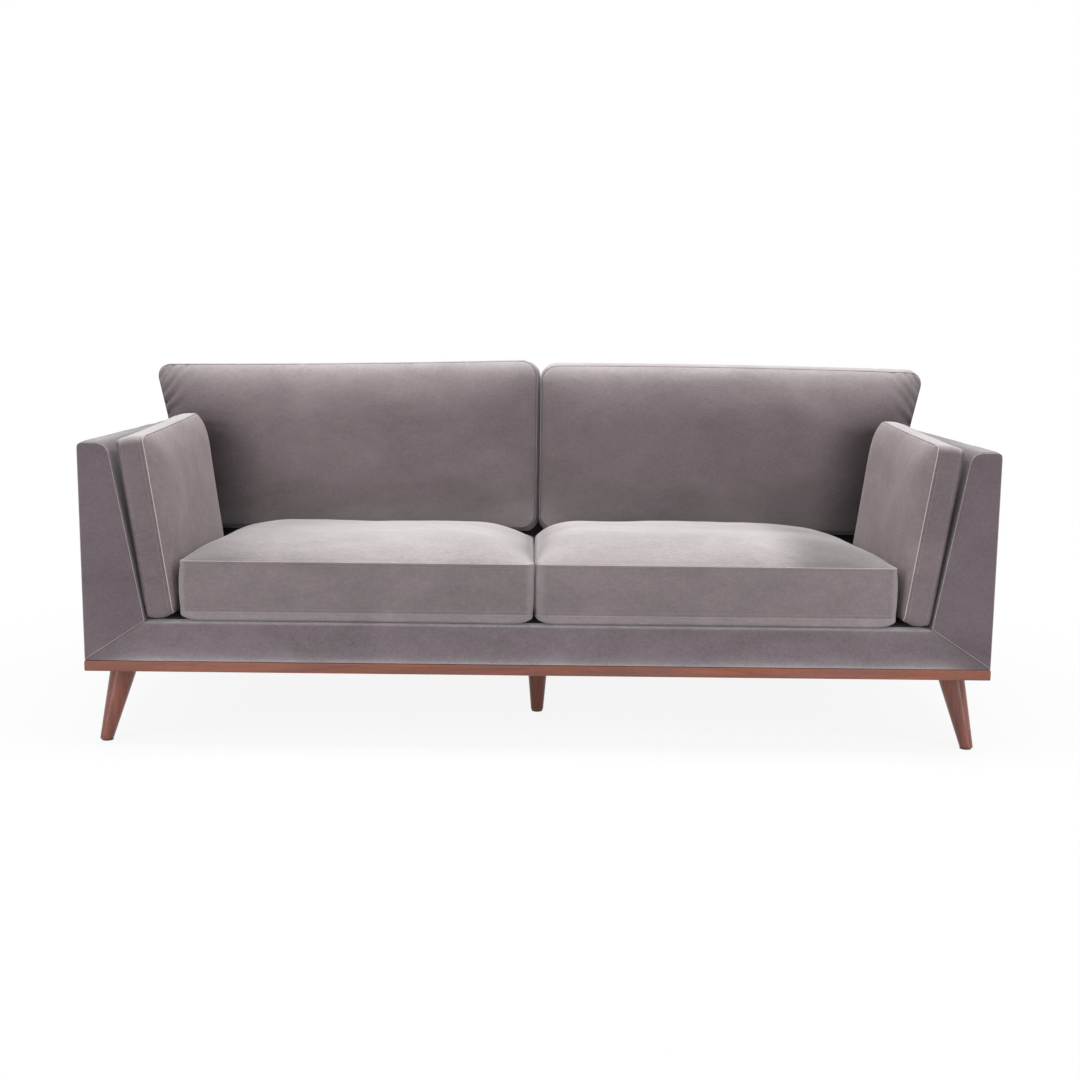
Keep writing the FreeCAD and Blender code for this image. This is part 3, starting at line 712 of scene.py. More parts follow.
# Painted highlight: a much paler bead where the arm cushions' front seam catches the light.
painted_highlight_seam = sewn_edge("painted_highlight_seam", (0.42, 0.36, 0.35))
thread = dressed("thread", velvet_nap_and_painted_light, {"Colour": (0.32, 0.28, 0.28, 1), "Nap": 0.1}, bump=0.3,
                 bump_distance=0.0003, Specular_IOR_Level=0.3)
print("materials so far", len(bpy.data.materials))

# %% Wood and steel


def stained(name, dark, light, stretch, bump, bump_distance, **finish):
    """Wood between a dark and a light tone, whose grain is squeezed by the stretch along each axis."""
    values = {"Dark": dark + (1,), "Light": light + (1,), "Stretch": stretch}
    return dressed(name, stained_grain, values, bump, bump_distance, **finish)


walnuts = {
    axis: stained("walnut_" + axis, (0.085, 0.024, 0.016), (0.28, 0.09, 0.055), stretch,
                  bump=0.12, bump_distance=0.0006, Coat_Weight=0.25, Coat_Roughness=0.25)
    for axis, stretch in (("x", (1, 14, 14)), ("y", (14, 1, 14)))
}
# The leg in the middle stands in the shade under the sofa and gets its own darker, redder copy of the
# walnut: painted shade.
leg_tones = {"corner": ((0.085, 0.029, 0.023), (0.265, 0.094, 0.071)),
             "centre": ((0.09, 0.022, 0.013), (0.26, 0.075, 0.042))}
leg_woods = {
    end: stained("walnut_" + end, dark, light, stretch=(26, 26, 2), bump=0.06, bump_distance=0.0003,
                 Specular_IOR_Level=0.15, Coat_Weight=0.5, Coat_Roughness=0.3)
    for end, (dark, light) in leg_tones.items()
}
zip_steel = stained("zip_steel", (0.2, 0.18, 0.17), (0.4, 0.38, 0.36), stretch=(1, 12, 12), bump=0.05,
                    bump_distance=0.0002, Metallic=0.9)
print("materials so far", len(bpy.data.materials))

# %% [markdown]
# A seam shows as a pale bead where the nap is pressed apart, and a row of stitches holds the seam allowance
# down beside it. A groove in the skin would be lost in the pile. So both are thin pieces that follow lines
# on the finished skin: a bead is a tube round the line, and a stitch is a little spindle laid along it.

# %% Beads
bead_sides = 6
bead_radius = 0.0009


def unit_rows(rows):
    """Rows at unit length."""
    return rows / np.linalg.norm(rows, axis=1)[:, None]


def frames_along(line, outward):
    """Unit directions along a closed line, out of the skin, and across both."""
    along = unit_rows(np.roll(line, -1, 0) - np.roll(line, 1, 0))
    across = unit_rows(np.cross(along, outward))
    return along, np.cross(across, along), across


def ring_round(out, across, turn):
    """Circle of directions round each point of a line: a turning mix of out and across."""
    return np.cos(turn)[None, :, None] * out[:, None] + np.sin(turn)[None, :, None] * across[:, None]


def bead(line, outward, radius):
    """Closed tube round a closed line: each point plus the radius times its circle of directions."""
    _, out, across = frames_along(line, outward)
    points = line[:, None] + radius * ring_round(out, across, np.arange(bead_sides) * 2 * pi / bead_sides)
    index = np.arange(len(line) * bead_sides).reshape(len(line), bead_sides)
    index = np.concatenate([index, index[:1]])
    index = np.concatenate([index, index[:, :1]], 1)
    return points.reshape(-1, 3), quads(index)[:, ::-1]


print("a bead is", round(2000 * bead_radius, 1), "mm thick")

# %% Stitches
stitch_length, stitch_gap, stitch_radius = 0.0034, 0.0014, 0.00042
spindle = np.array([(-0.5, 0.35), (-0.25, 1.0), (0.25, 1.0), (0.5, 0.35)])


def picked(values, run, places):
    """Rows of x, y, z read at new places along a run."""
    return np.stack([np.interp(places, run, values[:, k]) for k in range(3)], 1)


def evenly(line, outward, step):
    """Points at an even step along a closed line, with their directions out of the skin."""
    closed = np.concatenate([line, line[:1]])
    out = np.concatenate([outward, outward[:1]])
    run = run_round(closed)[:, 0]
    count = int(run[-1] / step)
    places = np.arange(count) * run[-1] / count
    return picked(closed, run, places), picked(out, run, places)


def stitches(line, outward):
    """Row of spindles along a closed line: four rings of four points each, and a face on both ends."""
    centres, out = evenly(line, outward, stitch_length + stitch_gap)
    along, out, across = frames_along(centres, out)
    ring = ring_round(out, across, np.arange(4) * pi / 2 + pi / 4)
    points = centres[:, None, None] + spindle[None, :, None, 0:1] * stitch_length * along[:, None, None]
    points = points + spindle[None, :, None, 1:2] * stitch_radius * ring[:, None]
    index = np.arange(16).reshape(4, 4)
    wrapped = np.concatenate([index, index[:, :1]], 1)
    faces = np.concatenate([quads(wrapped)[:, ::-1], index[:1], index[3:, ::-1]])
    faces = (faces[None] + 16 * np.arange(len(centres))[:, None, None]).reshape(-1, 4)
    return points.reshape(-1, 3), faces


print("a metre of seam takes", int(1 / (stitch_length + stitch_gap)), "stitches")

# %% [markdown]
# Each cushion has a zip in a side that nobody sees, so that its cover comes off for cleaning: a tape, two
# rows of teeth that lie between each other, and a slider with its tab. Real teeth are hooked, which only
# shows from close by, so the teeth and the slider are small blocks here.

# %% Zips
box_corners = np.array([(x, y, z) for x in (-1, 1) for y in (-1, 1) for z in (-1, 1)]) / 2
box_faces = np.array([(0, 1, 3, 2), (4, 6, 7, 5), (0, 4, 5, 1), (2, 3, 7, 6), (0, 2, 6, 4), (1, 5, 7, 3)])
tooth_step, tooth_shift, tooth_lift, tooth_size = 0.0031, 0.0011, 0.0004, (0.0017, 0.0042, 0.0009)
tape_reach, tape_thickness = 0.012, 0.0003
tape_edge = ((-1, 0), (-1, 1), (1, 1), (1, 0))
slider_size, slider_lift = (0.011, 0.008, 0.0022), 0.0008
tab_size, tab_lift, tab_ahead = (0.018, 0.005, 0.0011), 0.0012, 0.014


def blocks(centres, along, across, outward, size):
    """Small blocks at many centres: each corner is a half size along, across and out from its centre."""
    axes = np.stack([np.asarray(v, float) * d for v, d in zip((along, across, outward), size)])
    points = np.asarray(centres)[:, None] + box_corners @ axes
    faces = box_faces[None] + 8 * np.arange(len(points))[:, None, None]
    turned = np.linalg.det(axes) < 0
    return points.reshape(-1, 3), (faces[..., ::-1] if turned else faces).reshape(-1, 4)


def zip_pieces(name, line, along, outward, across):
    """Zip over a line of skin points: points at an even step between them carry the teeth of both tapes."""
    run = (line - line[0]) @ along
    teeth = picked(line, run, np.arange(0, run[-1], tooth_step)) + outward * tooth_lift
    shift = across * tooth_shift * np.where(np.arange(len(teeth)) % 2, 1, -1)[:, None]
    tape = np.stack([line + across * (reach * tape_reach) + outward * (lift * tape_thickness)
                     for reach, lift in tape_edge], 1).reshape(-1, 3)
    index = np.arange(len(tape)).reshape(-1, 4)
    closed = np.concatenate([index, index[:, :1]], 1)
    faces = np.concatenate([quads(closed), index[:1], index[-1:, ::-1]])
    slider_place = teeth[3] + outward * slider_lift
    tab_place = teeth[3] + along * tab_ahead + outward * tab_lift
    slider = merged([blocks([slider_place], along, across, outward, slider_size),
                     blocks([tab_place], along, across, outward, tab_size)])
    row = blocks(teeth + shift, along, across, outward, tooth_size)
    return [new_object(name + "_zip_tape", tape, faces, thread),
            new_object(name + "_zip_teeth", *row, zip_steel),
            new_object(name + "_zip_slider", *slider, zip_steel)]


print("a zip of half a metre has", int(0.5 / tooth_step), "teeth")

# %% [markdown]
# A cushion is a crowned panel, a flatter panel where it rests, and a strip with a row of stitching beside
# each seam. The crown rises fast at the seam and slowly in the middle, as foam under a tight cover does.
# The strip stands proud where the seam allowance lies under it, and dips at the stitches. Where a cushion
# meets the deck, the frame or its neighbour, it is pressed flat and its points stay short of that plane. A
# collision in the cloth simulation could do that as well, but it takes longer and keeps a gap of its own.

# %% What a cushion is cut to
cushion_step = 0.0065
lip_bulge, lip_start, lip_fade = 0.005, 0.002, 0.01
strip_power = 0.8


@dataclass
class Cushion:
    """Everything that one cushion's cover is cut and filled to. Lists of four go round from the bottom."""
    name: str
    directions: object  # along the face, up it and out of it
    corners: list  # the outline in the first two directions
    radii: list  # of its corners
    bows: list  # how far its sides are drawn in
    low: float  # place of the rear panel's seam along the third direction
    high: float  # place of the face's seam
    crown: float  # how far the face rises
    curves: list  # reach, power and root of that rise from each side
    puffs: list  # how far the strip bulges on each side
    rest: float  # how deep the rear panel is
    planes: list  # that the cushion is pressed against: a point and an outward direction
    seed: int
    swell_cap: float = 0.006
    reshape: object = None  # last change of its points
    folds: tuple = ()  # side and height of its creases
    seams: object = seam_velvet
    front_seam: object = None  # finish of the face's seam at the sofa's front
    under: object = velvet  # finish of the rear panel
    panel: object = velvet  # finish of the face
    seam_radius: float = bead_radius
    zip_side: int = 0
    brush: tuple = (0, 0, 0)  # painted light along the face's seams, on the strip and at the strip's corners
    waves: tuple = (0.0022, 0.0005)  # heights of the broad and the narrow unevenness
    lips: tuple = (0.05, 0.05, 0.05, 0.05)  # reach of the rear panel's rise from each side
    ends: object = None  # more painted light on the face, by the distances from its sides
    painted_shade: object = None  # painted shade on the face, by the distances from its sides

    def __post_init__(self):
        """Lays out the boxed form of the cushion."""
        self.directions = np.asarray(self.directions, float)
        self.form = Boxed(self.corners, self.radii, self.bows, self.low, self.high, cushion_step)

    def shaped(self, s, t, w):
        """Crowned panels and bulging strip in the cushion's own directions. The crown is its height times
        the product of the rises from the sides. The strip stands out by its bulge times a power of the sine
        of half a turn times the share of the way across it."""
        face, back, strip, out = self.form.lay(s, t, w)
        distances = self.form.from_sides(s, t)
        face[..., 2] += self.crown * crown_over(distances, self.curves)
        back[..., 2] -= self.rest * crown_over(distances, [(reach, 2, 0.5) for reach in self.lips])
        for d, inward in zip(distances, ((0, 1), (-1, 0), (0, -1), (1, 0))):
            lip = lip_bulge * (1 - np.exp(-d / lip_start)) * np.exp(-d / lip_fade)
            back[..., :2] -= lip[..., None] * np.array(inward)
        u, v = out[:, 0], out[:, 1]
        facing = np.clip(np.stack([-v, u, v, -u]), 0, 1) ** 2
        bulge = np.asarray(self.puffs) @ facing
        strip[..., :2] += (out * bulge[:, None])[:, None] * (np.sin(pi * w) ** strip_power)[None, :, None]
        return face, back, strip


# %% Relief of the skin
stitch_distance = 0.0075
stitch_dip, stitch_dip_width = 0.0011, 0.0015
allowance_rise, allowance_start, allowance_end = 0.0015, 0.0025, 0.0009
pucker_height, uneven_reach, fold_reach = 0.0004, 0.06, 0.006


def strip_relief(distance):
    """How far the strip stands out at a distance from its seam: the allowance rises at the seam and ends at
    the stitches, and they lie in a dip, the exponential of minus the squared distance from them."""
    past = distance - stitch_distance
    step = allowance_rise * (1 - np.exp(-distance / allowance_start)) / (1 + np.exp(past / allowance_end))
    return step - stitch_dip * np.exp(-((past / stitch_dip_width) ** 2))


def roughened(cushion, face, strip, out, height):
    """Adds the unevenness, the puckers and the folds to the face, and the relief to the strip."""
    form, seed = cushion.form, cushion.seed
    distances = form.from_sides(*form.shares[:2])
    broad, narrow = cushion.waves
    u, v = face[..., 0], face[..., 1]
    uneven = broad * slow_waves(u, v, broad_wave, seed) + narrow * slow_waves(u, v, narrow_wave, seed + 1)
    face[..., 2] += crown_over(distances, [(uneven_reach, 2)] * 4) * uneven
    by_bottom_or_top = puckers(u, np.minimum(distances[0], distances[2]), seed + 2)
    by_either_end = puckers(v, np.minimum(distances[1], distances[3]), seed + 3)
    face[..., 2] += pucker_height * (by_bottom_or_top + by_either_end)
    for side, amount in cushion.folds:
        edge = crown_over(distances, [(fold_reach, 2)] * 4)
        face[..., 2] += amount * corner_folds(distances[side], distances[2], seed + 6) * edge
    run = run_round(rim(face)[:, :2])
    by_seams = puckers(run, height[None], seed + 4) + puckers(run, height[None, ::-1], seed + 5)
    relief = strip_relief(height) + strip_relief(height[::-1]) + pucker_height * by_seams
    relief[:, [0, -1]] = 0
    strip[..., :2] += out[:, None] * relief[..., None]


def pressed(points, planes, softness=0.0012):
    """Keeps points short of planes, each a point and an outward direction: the distance d beyond a plane
    becomes minus the softness times the logarithm of 1 + exp(-d / softness)."""
    for place, outward in planes:
        beyond = (points - np.asarray(place)) @ np.asarray(outward, float)
        kept = -softness * np.logaddexp(0, -beyond / softness)
        points = points + (kept - beyond)[..., None] * np.asarray(outward, float)
    return points


print("the strips stand out by up to", round(1000 * float(strip_relief(seam_rows).max()), 2), "mm")

# %% Painted light and zip of a cushion
zip_ends, zip_facing = (0.12, 0.88), 0.9
seam_light_reach = 0.07


def painted_light(cushion, strip_shape):
    """How much painted light each point gets: along the panel's seams, all over the strip, and more where
    the strip turns a corner, as twice the product of its outward direction's two parts."""
    form = cushion.form
    by_face, by_strip, at_corner = cushion.brush
    distances = form.from_sides(*form.shares[:2])
    near = 1 - crown_over(distances, [(seam_light_reach, 2)] * 4)
    turned = 2 * np.abs(np.prod(form.lay(*form.shares)[3], 1))
    on_strip = np.broadcast_to((by_strip + at_corner * turned)[:, None], strip_shape)[:, 1:-1]
    by_ends = cushion.ends(distances) if cushion.ends else 0 * near
    return np.concatenate([(by_face * near + by_ends).ravel(), np.zeros(near.size), on_strip.ravel()])


def zipped(cushion, middle, out):
    """Zip along the middle of one side of the strip, between two shares of its length."""
    corners, directions = cushion.form.corners, cushion.directions
    side = corners[(cushion.zip_side + 1) % 4] - corners[cushion.zip_side]
    along = (side[0] * directions[0] + side[1] * directions[1]) / np.linalg.norm(side)
    places = middle @ along
    share = (places - places.min()) / (places.max() - places.min())
    outward = np.cross(along, directions[2])
    chosen = (share > zip_ends[0]) & (share < zip_ends[1]) & (out @ outward > zip_facing)
    line = middle[chosen][np.argsort(places[chosen])]
    return zip_pieces(cushion.name, line, along, outward, directions[2])


# %% The cover and its seams
bead_lift_share, front_seam_depth = 0.2, 0.03


def cover_of(cushion, face, back, strip):
    """The cover: one closed skin with its three finishes, its painted light and its painted shade."""
    cover = new_object(cushion.name, *joined(face, back, strip), velvet)
    cover.data.materials.append(cushion.under)
    cover.data.materials.append(cushion.panel)
    panel_faces = (face.shape[0] - 1) * (face.shape[1] - 1)
    finish = np.zeros(len(cover.data.polygons), int)
    finish[:panel_faces], finish[panel_faces : 2 * panel_faces] = 2, 1
    cover.data.polygons.foreach_set("material_index", finish)
    # Painted light and painted shade go on as attributes that the velvet reads.
    marked(cover, "painted_light", painted_light(cushion, strip.shape[:2]))
    if cushion.painted_shade:
        distances = cushion.form.from_sides(*cushion.form.shares[:2])
        painted_shade_share = np.zeros(len(cover.data.vertices))
        painted_shade_share[: distances[0].size] = cushion.painted_shade(distances).ravel()
        marked(cover, "pressed", painted_shade_share)
    return cover


def seam_of(cushion, end, line, skin):
    """Bead in one seam of the cover, with a painted highlight at the sofa's front where the cushion asks for
    it.
    """
    raised = line + skin * cushion.seam_radius * bead_lift_share
    seam = new_object(f"{cushion.name}_{end}_seam", *bead(raised, skin, cushion.seam_radius), cushion.seams)
    if cushion.front_seam and end == "face":
        seam.data.materials.append(cushion.front_seam)
        at_front = line[:, 1] < line[:, 1].min() + front_seam_depth
        seam.data.polygons.foreach_set("material_index", np.repeat(at_front.astype(int), bead_sides))
    return seam


# %% Sewing a cushion
stitch_lift_share = 0.6
rear_swell_share = 0.3


def sew(cushion, face, back, strip, out, height):
    """Makes the cover, its beads, its stitches and its zip, and hangs them on the cushion's body."""
    cover = cover_of(cushion, face, back, strip)
    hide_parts(cushion.name + "_cover", cushion.name + "_foam")
    outward = cushion.directions[2]
    sewn = [cover, seam_of(cushion, "face", rim(face), unit_rows(out + outward)),
            seam_of(cushion, "rear", rim(back), unit_rows(out - outward))]
    rows = []
    for target in (stitch_distance, height[-1] - stitch_distance):
        k = int(np.argmin(np.abs(height - target)))
        rows.append(stitches(strip[:, k] + out * stitch_radius * stitch_lift_share, out))
    sewn.append(new_object(cushion.name + "_stitches", *merged(rows), thread))
    sewn += zipped(cushion, strip[:, strip.shape[1] // 2], out)
    dress(sewn, cushion.name)
    print(cushion.name, len(cover.data.polygons), "faces")


def make(cushion):
    """Swells, roughens, places and sews a cushion."""
    form = cushion.form
    face, back, strip = cushion.shaped(*form.shares)
    out = form.lay(*form.shares)[3]
    moves = swelled(cushion.name + "_swell", form, cushion.shaped, cushion.swell_cap)
    face, back, strip = face + moves[0], back + moves[1] * rear_swell_share, strip + moves[2]
    height = (form.high - form.low) * form.shares[2]
    roughened(cushion, face, strip, out, height)
    strip[:, 0], strip[:, -1] = rim(back), rim(face)
    placed = [pressed(grid @ cushion.directions, cushion.planes) for grid in (face, back, strip)]
    if cushion.reshape:
        placed = [cushion.reshape(points) for points in placed]
    sew(cushion, *placed, out @ cushion.directions[:2], height)


# %% [markdown]
# The two seat cushions lie side by side on the deck and meet a little left of the middle. One and its mirror
# image would look made by machine: the real ones are filled and pulled unequally, so each has its own
# values. Their fronts sink over the fascia's rounded edge, their rears give way under the back cushions, and
# beside the arms their faces get painted shade.

# %% How the seats give way
contact_drop, contact_gap, contact_softness = 0.027, 0.0006, 0.003
give_start, give_reach = 0.112, 0.05
lip_depth, lip_height, lip_softness = 0.014, 0.022, 0.02
seat_lip_drop, arm_cushion_lip_drop = 0.004, 0.0065
back_v0 = span(["left_back_cushion_cover"], back_directions[1])[0]
back_w0 = span(["left_back_cushion_cover"], back_directions[2])[0]


def under_back(points):
    """The seat's rear gives way under the back cushions: from a line in front of them, its height is kept
    below the plane that their undersides lie on."""
    limit = back_v0 - contact_drop - contact_gap
    along = points @ back_directions[1]
    kept = limit - contact_softness * np.logaddexp(0, (limit - along) / contact_softness)
    share = smooth_step((points[..., 1] - give_start) / give_reach)
    return points + (share * (kept - along))[..., None] * back_directions[1]


def lipped(points, drop):
    """The front lip of a cushion sinks over the fascia's rounded edge and moves half as far forwards: by the
    drop times the exponential of minus the squared distance from the front, near the fascia's top."""
    near_front = np.exp(-(((points[..., 1] - front) / lip_depth) ** 2))
    lip = near_front * np.clip((fascia_top + lip_height - points[..., 2]) / lip_softness, 0, 1)
    return points - drop * lip[..., None] * np.array([0, 0.5, 1])


def seated(points):
    """Under the back cushions the seat gives way, and in front it sinks over the fascia."""
    return lipped(under_back(points), seat_lip_drop)


print("the seats give way behind y", give_start, "and their fronts sink by", seat_lip_drop)

# %% Seat cushions
seat_split, seat_half_gap = -0.012, 0.003
seat_depth, seat_face = 0.021, 0.138
seat_front_inset, seat_rear_inset, seat_right_inset, seat_clearance = 0.003, 0.001, 0.002, 0.0006
(seat_front, seat_rear), (seat_low, _) = (span(["left_seat_cushion_cover"], d) for d in seat_directions[1:])
seat_end = -span(["left_seat_cushion_cover"], (1, 0, 0))[0]
# The last entry of each paints shade on the face beside the arm, by a share that dies away with the distance
# from that side.
seat_values = {
    "left": {"ends": (-seat_end, seat_split - seat_half_gap), "seed": 11, "crown": 0.0505,
             "radii": [0.014, 0.018, 0.022, 0.022], "puffs": [0.004, 0.006, 0.0, 0.005],
             "curves": [(0.2, 2.6, 0.8), (0.165, 2, 0.6), (0.24, 2.2), (0.19, 2, 0.55)],
             "painted_shade": lambda distances: 0.54 * np.exp(-((distances[3] / 0.21) ** 1.5))},
    "right": {"ends": (seat_split + seat_half_gap, seat_end - seat_right_inset), "seed": 31, "crown": 0.0575,
              "radii": [0.026, 0.014, 0.022, 0.022], "puffs": [0.004, 0.004, 0.0, 0.006],
              "curves": [(0.2, 2.6, 0.8), (0.29, 2, 0.58), (0.24, 2.2), (0.11, 2, 0.45)],
              "painted_shade": lambda distances: 0.5 * (1 - smooth_step((distances[1] - 0.17) / 0.13))},
}

# Painted light on each seat's strip, more at its corners, and painted shade on its face beside the arm.
for side, sign in sides.items():
    cut = seat_values[side]
    low, high = cut["ends"]
    v_front, v_rear = seat_front + seat_front_inset, seat_rear - seat_rear_inset
    make(Cushion(
        name=side + "_seat_cushion", directions=seat_directions,
        corners=[(low, v_front), (high, v_front), (high, v_rear), (low, v_rear)], radii=cut["radii"],
        bows=[0.001] * 4, low=seat_low + seat_depth, high=seat_low + seat_face, crown=cut["crown"],
        curves=cut["curves"], puffs=cut["puffs"], rest=seat_depth,
        planes=[((seat_split - sign * seat_clearance, 0, 0), (-sign, 0, 0)),
                (seat_directions[2] * seat_low, -seat_directions[2])],
        seed=cut["seed"], reshape=seated, under=floor_lit_velvet, seams=welt, seam_radius=0.0013, zip_side=2,
        brush=(0, 0.17, 0.3), lips=(0.013, 0.05, 0.05, 0.05), painted_shade=cut["painted_shade"]))

# %% [markdown]
# The back cushions stand on the seats and lean on the back. Their ends follow the arms' lean and spill over
# the arms' tops, where the cover is pulled into creases. Along the top and the bottom their faces get
# painted light, behind the arm cushions painted shade, and towards the middle of the sofa they are a little
# darker.
# A cloth that falls on the arms could find the spill by itself, but a formula keeps it as wide as in the
# photograph.

# %% How the backs spill over the arms
spill, spill_below, spill_height = 0.0235, 0.001, 0.009
spill_inside, spill_width = 0.7, 0.26
flare, flare_start, flare_height = 0.3, 0.02, 0.1
# Shares and reaches of the painted light along the bottom and the top of a back's face, and of its painted
# shade behind the arm cushion and towards the middle.
foot_light_share, foot_light_reach, top_light_share, top_light_reach = 0.9, 0.055, 0.75, 0.036
leant_width, leant_height, leant_fade, leant_shade = 0.09, 0.22, 0.16, 0.57
middle_shade, middle_top = 0.24, 0.05


def back_painted_light(distances):
    """Painted light along the bottom and the top of the face: each side's share dies away with the distance.
    """
    by_foot = foot_light_share * np.exp(-distances[0] / foot_light_reach)
    return by_foot + top_light_share * np.exp(-distances[2] / top_light_reach)


def back_painted_shade(distances, side, reach):
    """Painted shade where an arm cushion leans on the back, below the arm's top, and a little darkening
    towards the middle of the sofa. Both fade out by smooth steps or exponentials of the distance."""
    by_end = 1 - smooth_step((distances[side] - leant_width) / leant_fade)
    low_down = 1 - smooth_step((distances[0] - leant_height) / leant_fade)
    by_middle = np.exp(-((distances[4 - side] / reach) ** 2)) * np.clip(distances[2] / middle_top, 0, 1)
    return leant_shade * (by_end * low_down) + middle_shade * by_middle


def spilled(points):
    """Above the arms the cushion spills sideways over them: the spill grows by a smooth step from the arm's
    top, only near the cushion's end, and flares out further up."""
    above, out = points[..., 2] - arm_top, np.abs(points[..., 0])
    over = smooth_step((above + spill_below) / spill_height)
    near = np.clip((out - spill_inside) / spill_width, 0, 1)
    flared = 1 + flare * np.clip((above - flare_start) / flare_height, 0, 1)
    moved = points.copy()
    moved[..., 0] += np.sign(points[..., 0]) * spill * flared * over * near * near
    return moved


print("the backs spill over the arms by up to", round(1000 * spill * (1 + flare), 1), "mm")

# %% Back cushions
back_split = 0.002
back_depth, back_face = 0.008, 0.112
back_fold, back_clearance, back_end_gap, back_base_drop = 0.0115, 0.0008, 0.004, 0.017
# Heights of the top's inner and outer corners, how far the top is drawn in, the strip's bulges, the inner
# side's distance from the middle, how far the darkening towards the middle reaches, and the seed.
back_values = {
    "left": {"top_in": 0.885, "top_out": 0.863, "bow": 0.003, "puffs": [0.014, 0.006, 0.008, 0.014],
             "inner": 0.014 - back_split, "middle_reach": 0.35, "seed": 51},
    "right": {"top_in": 0.871, "top_out": 0.864, "bow": -0.005, "puffs": [0.014, 0.006, 0.014, 0.008],
              "inner": 0.003 + back_split, "middle_reach": 0.7, "seed": 71},
}
end_curve = (0.17, 2.4, 0.7)
back_curves = [(0.15, 2.4, 0.7), (0.34, 2, 0.8), end_curve, end_curve]
back_base = back_v0 - back_base_drop
back_seam_rise = (back_face + back_w0) * sin(back_recline)


def back_end(v):
    """Distance of a back cushion's end from the middle at a place up its face: just short of the arm."""
    return arm_inside(v * cos(back_recline) + back_seam_rise) - back_end_gap


# Painted light along each back's seams, at its strip's corners and along its top and bottom, and painted
# shade beside the arm cushion and towards the middle.
for side, sign in sides.items():
    cut = back_values[side]
    top_in, top_out = ((cut[key] - back_seam_rise) / cos(back_recline) for key in ("top_in", "top_out"))
    corners = [(cut["inner"], back_base), (back_end(back_base), back_base), (back_end(top_out), top_out),
               (cut["inner"], top_in)]
    outer_side = 1 if sign > 0 else 3
    make(Cushion(
        name=side + "_back_cushion", directions=back_directions, corners=outline(sign, corners),
        radii=by_corner(sign, [0.036, 0.036, 0.036, 0.042]), bows=[0.0, 0.0, cut["bow"], 0.0],
        low=back_w0 + back_depth, high=back_w0 + back_face, crown=0.038, curves=by_side(sign, back_curves),
        puffs=by_side(sign, cut["puffs"]), rest=back_depth,
        planes=[((back_split - sign * back_clearance, 0, 0), (-sign, 0, 0)),
                ((sign * (arm_inside(0) - back_clearance), 0, 0), (sign * cos(arm_lean), 0, -sin(arm_lean))),
                (back_directions[2] * back_w0, -back_directions[2]),
                (back_directions[1] * (back_v0 - contact_drop), -back_directions[1])],
        seed=cut["seed"], reshape=spilled, folds=((outer_side, back_fold),), seams=closed_seam,
        brush=(0.06, 0, 0.1), ends=back_painted_light,
        painted_shade=lambda distances, end=outer_side, reach=cut["middle_reach"]: back_painted_shade(distances, end, reach)))

# %% [markdown]
# A flat cushion leans on each arm and stands on the deck in front of the back cushion. It is drawn once, for
# the right side, and turned over for the left, because these two are a pair. Its face has a paler copy of
# the velvet with less sheen, painted light and shade for the tone it shows in this light, its seams are
# closed and dark, and the one at the sofa's front catches the light as a painted highlight.

# %% Arm cushions
arm_depth, arm_face = 0.006, 0.064
arm_front_inset, arm_rear_reach, arm_rear_rise = 0.003, 0.008, 0.004
front_rise, rear_rake, sag = 0.0192, 0.027, 0.008
deck_down = np.array([0, -sin(deck_pitch), -cos(deck_pitch)])
arm_cushion_radii = [0.02, 0.014, 0.018, 0.05]
arm_cushion_puffs = [sag, 0.004, 0.005, 0.002]
arm_cushion_reaches = [0.06, 0.12, 0.1, 0.05]

for side, sign in sides.items():
    out_of_arm = np.array([-sign * cos(arm_cushion_lean), 0, sin(arm_cushion_lean)])
    arm_directions = [(0, -sign, 0), (sign * sin(arm_cushion_lean), 0, cos(arm_cushion_lean)), out_of_arm]
    u0, u1 = span([side + "_arm_cushion_cover"], (0, -1, 0))
    (v0, v1), (w0, _) = (span([side + "_arm_cushion_cover"], d) for d in arm_directions[1:])
    fall = (u1 - u0 - rear_rake) * tan(deck_pitch)
    u_front = u1 - arm_front_inset
    corners = [(u0 + rear_rake, v0 + sag), (u_front, v0 + fall + sag), (u_front, v1 - front_rise),
               (u0 - arm_rear_reach, v1 + arm_rear_rise)]
    curves = [(reach, 2.4, 0.7) for reach in arm_cushion_reaches]
    make(Cushion(
        name=side + "_arm_cushion", directions=arm_directions, corners=outline(sign, corners),
        radii=by_corner(sign, arm_cushion_radii), bows=[0.0, 0.002, 0.002, 0.002],
        low=w0 + arm_depth, high=w0 + arm_face, crown=0.023, curves=by_side(sign, curves),
        puffs=by_side(sign, arm_cushion_puffs), rest=arm_depth,
        planes=[(out_of_arm * w0, -out_of_arm), (-deck_down * seat_low, deck_down)],
        seed=101 + 10 * sign, swell_cap=0.0015, seams=closed_seam, seam_radius=0.0012,
        front_seam=painted_highlight_seam, panel=side_velvet, waves=(0.0014, 0.0001),
        reshape=lambda points: lipped(points, arm_cushion_lip_drop)))

# %% [markdown]
# The arms, the back and the front fascia are padding under a tight cover, so they are boxed forms too, with
# hardly any crown and nothing for a simulation to swell. An arm's two panels are its facings, and its strip
# runs over the top from end to end.

# %% Frame upholstery
padding_step, padding_crown, padding_power = 0.011, 0.0012, 2.6
panel_edge, panel_wave, panel_uneven = 0.035, 0.21, 0.0006
strip_edge, strip_wave, strip_uneven = 0.05, 0.17, 0.0005


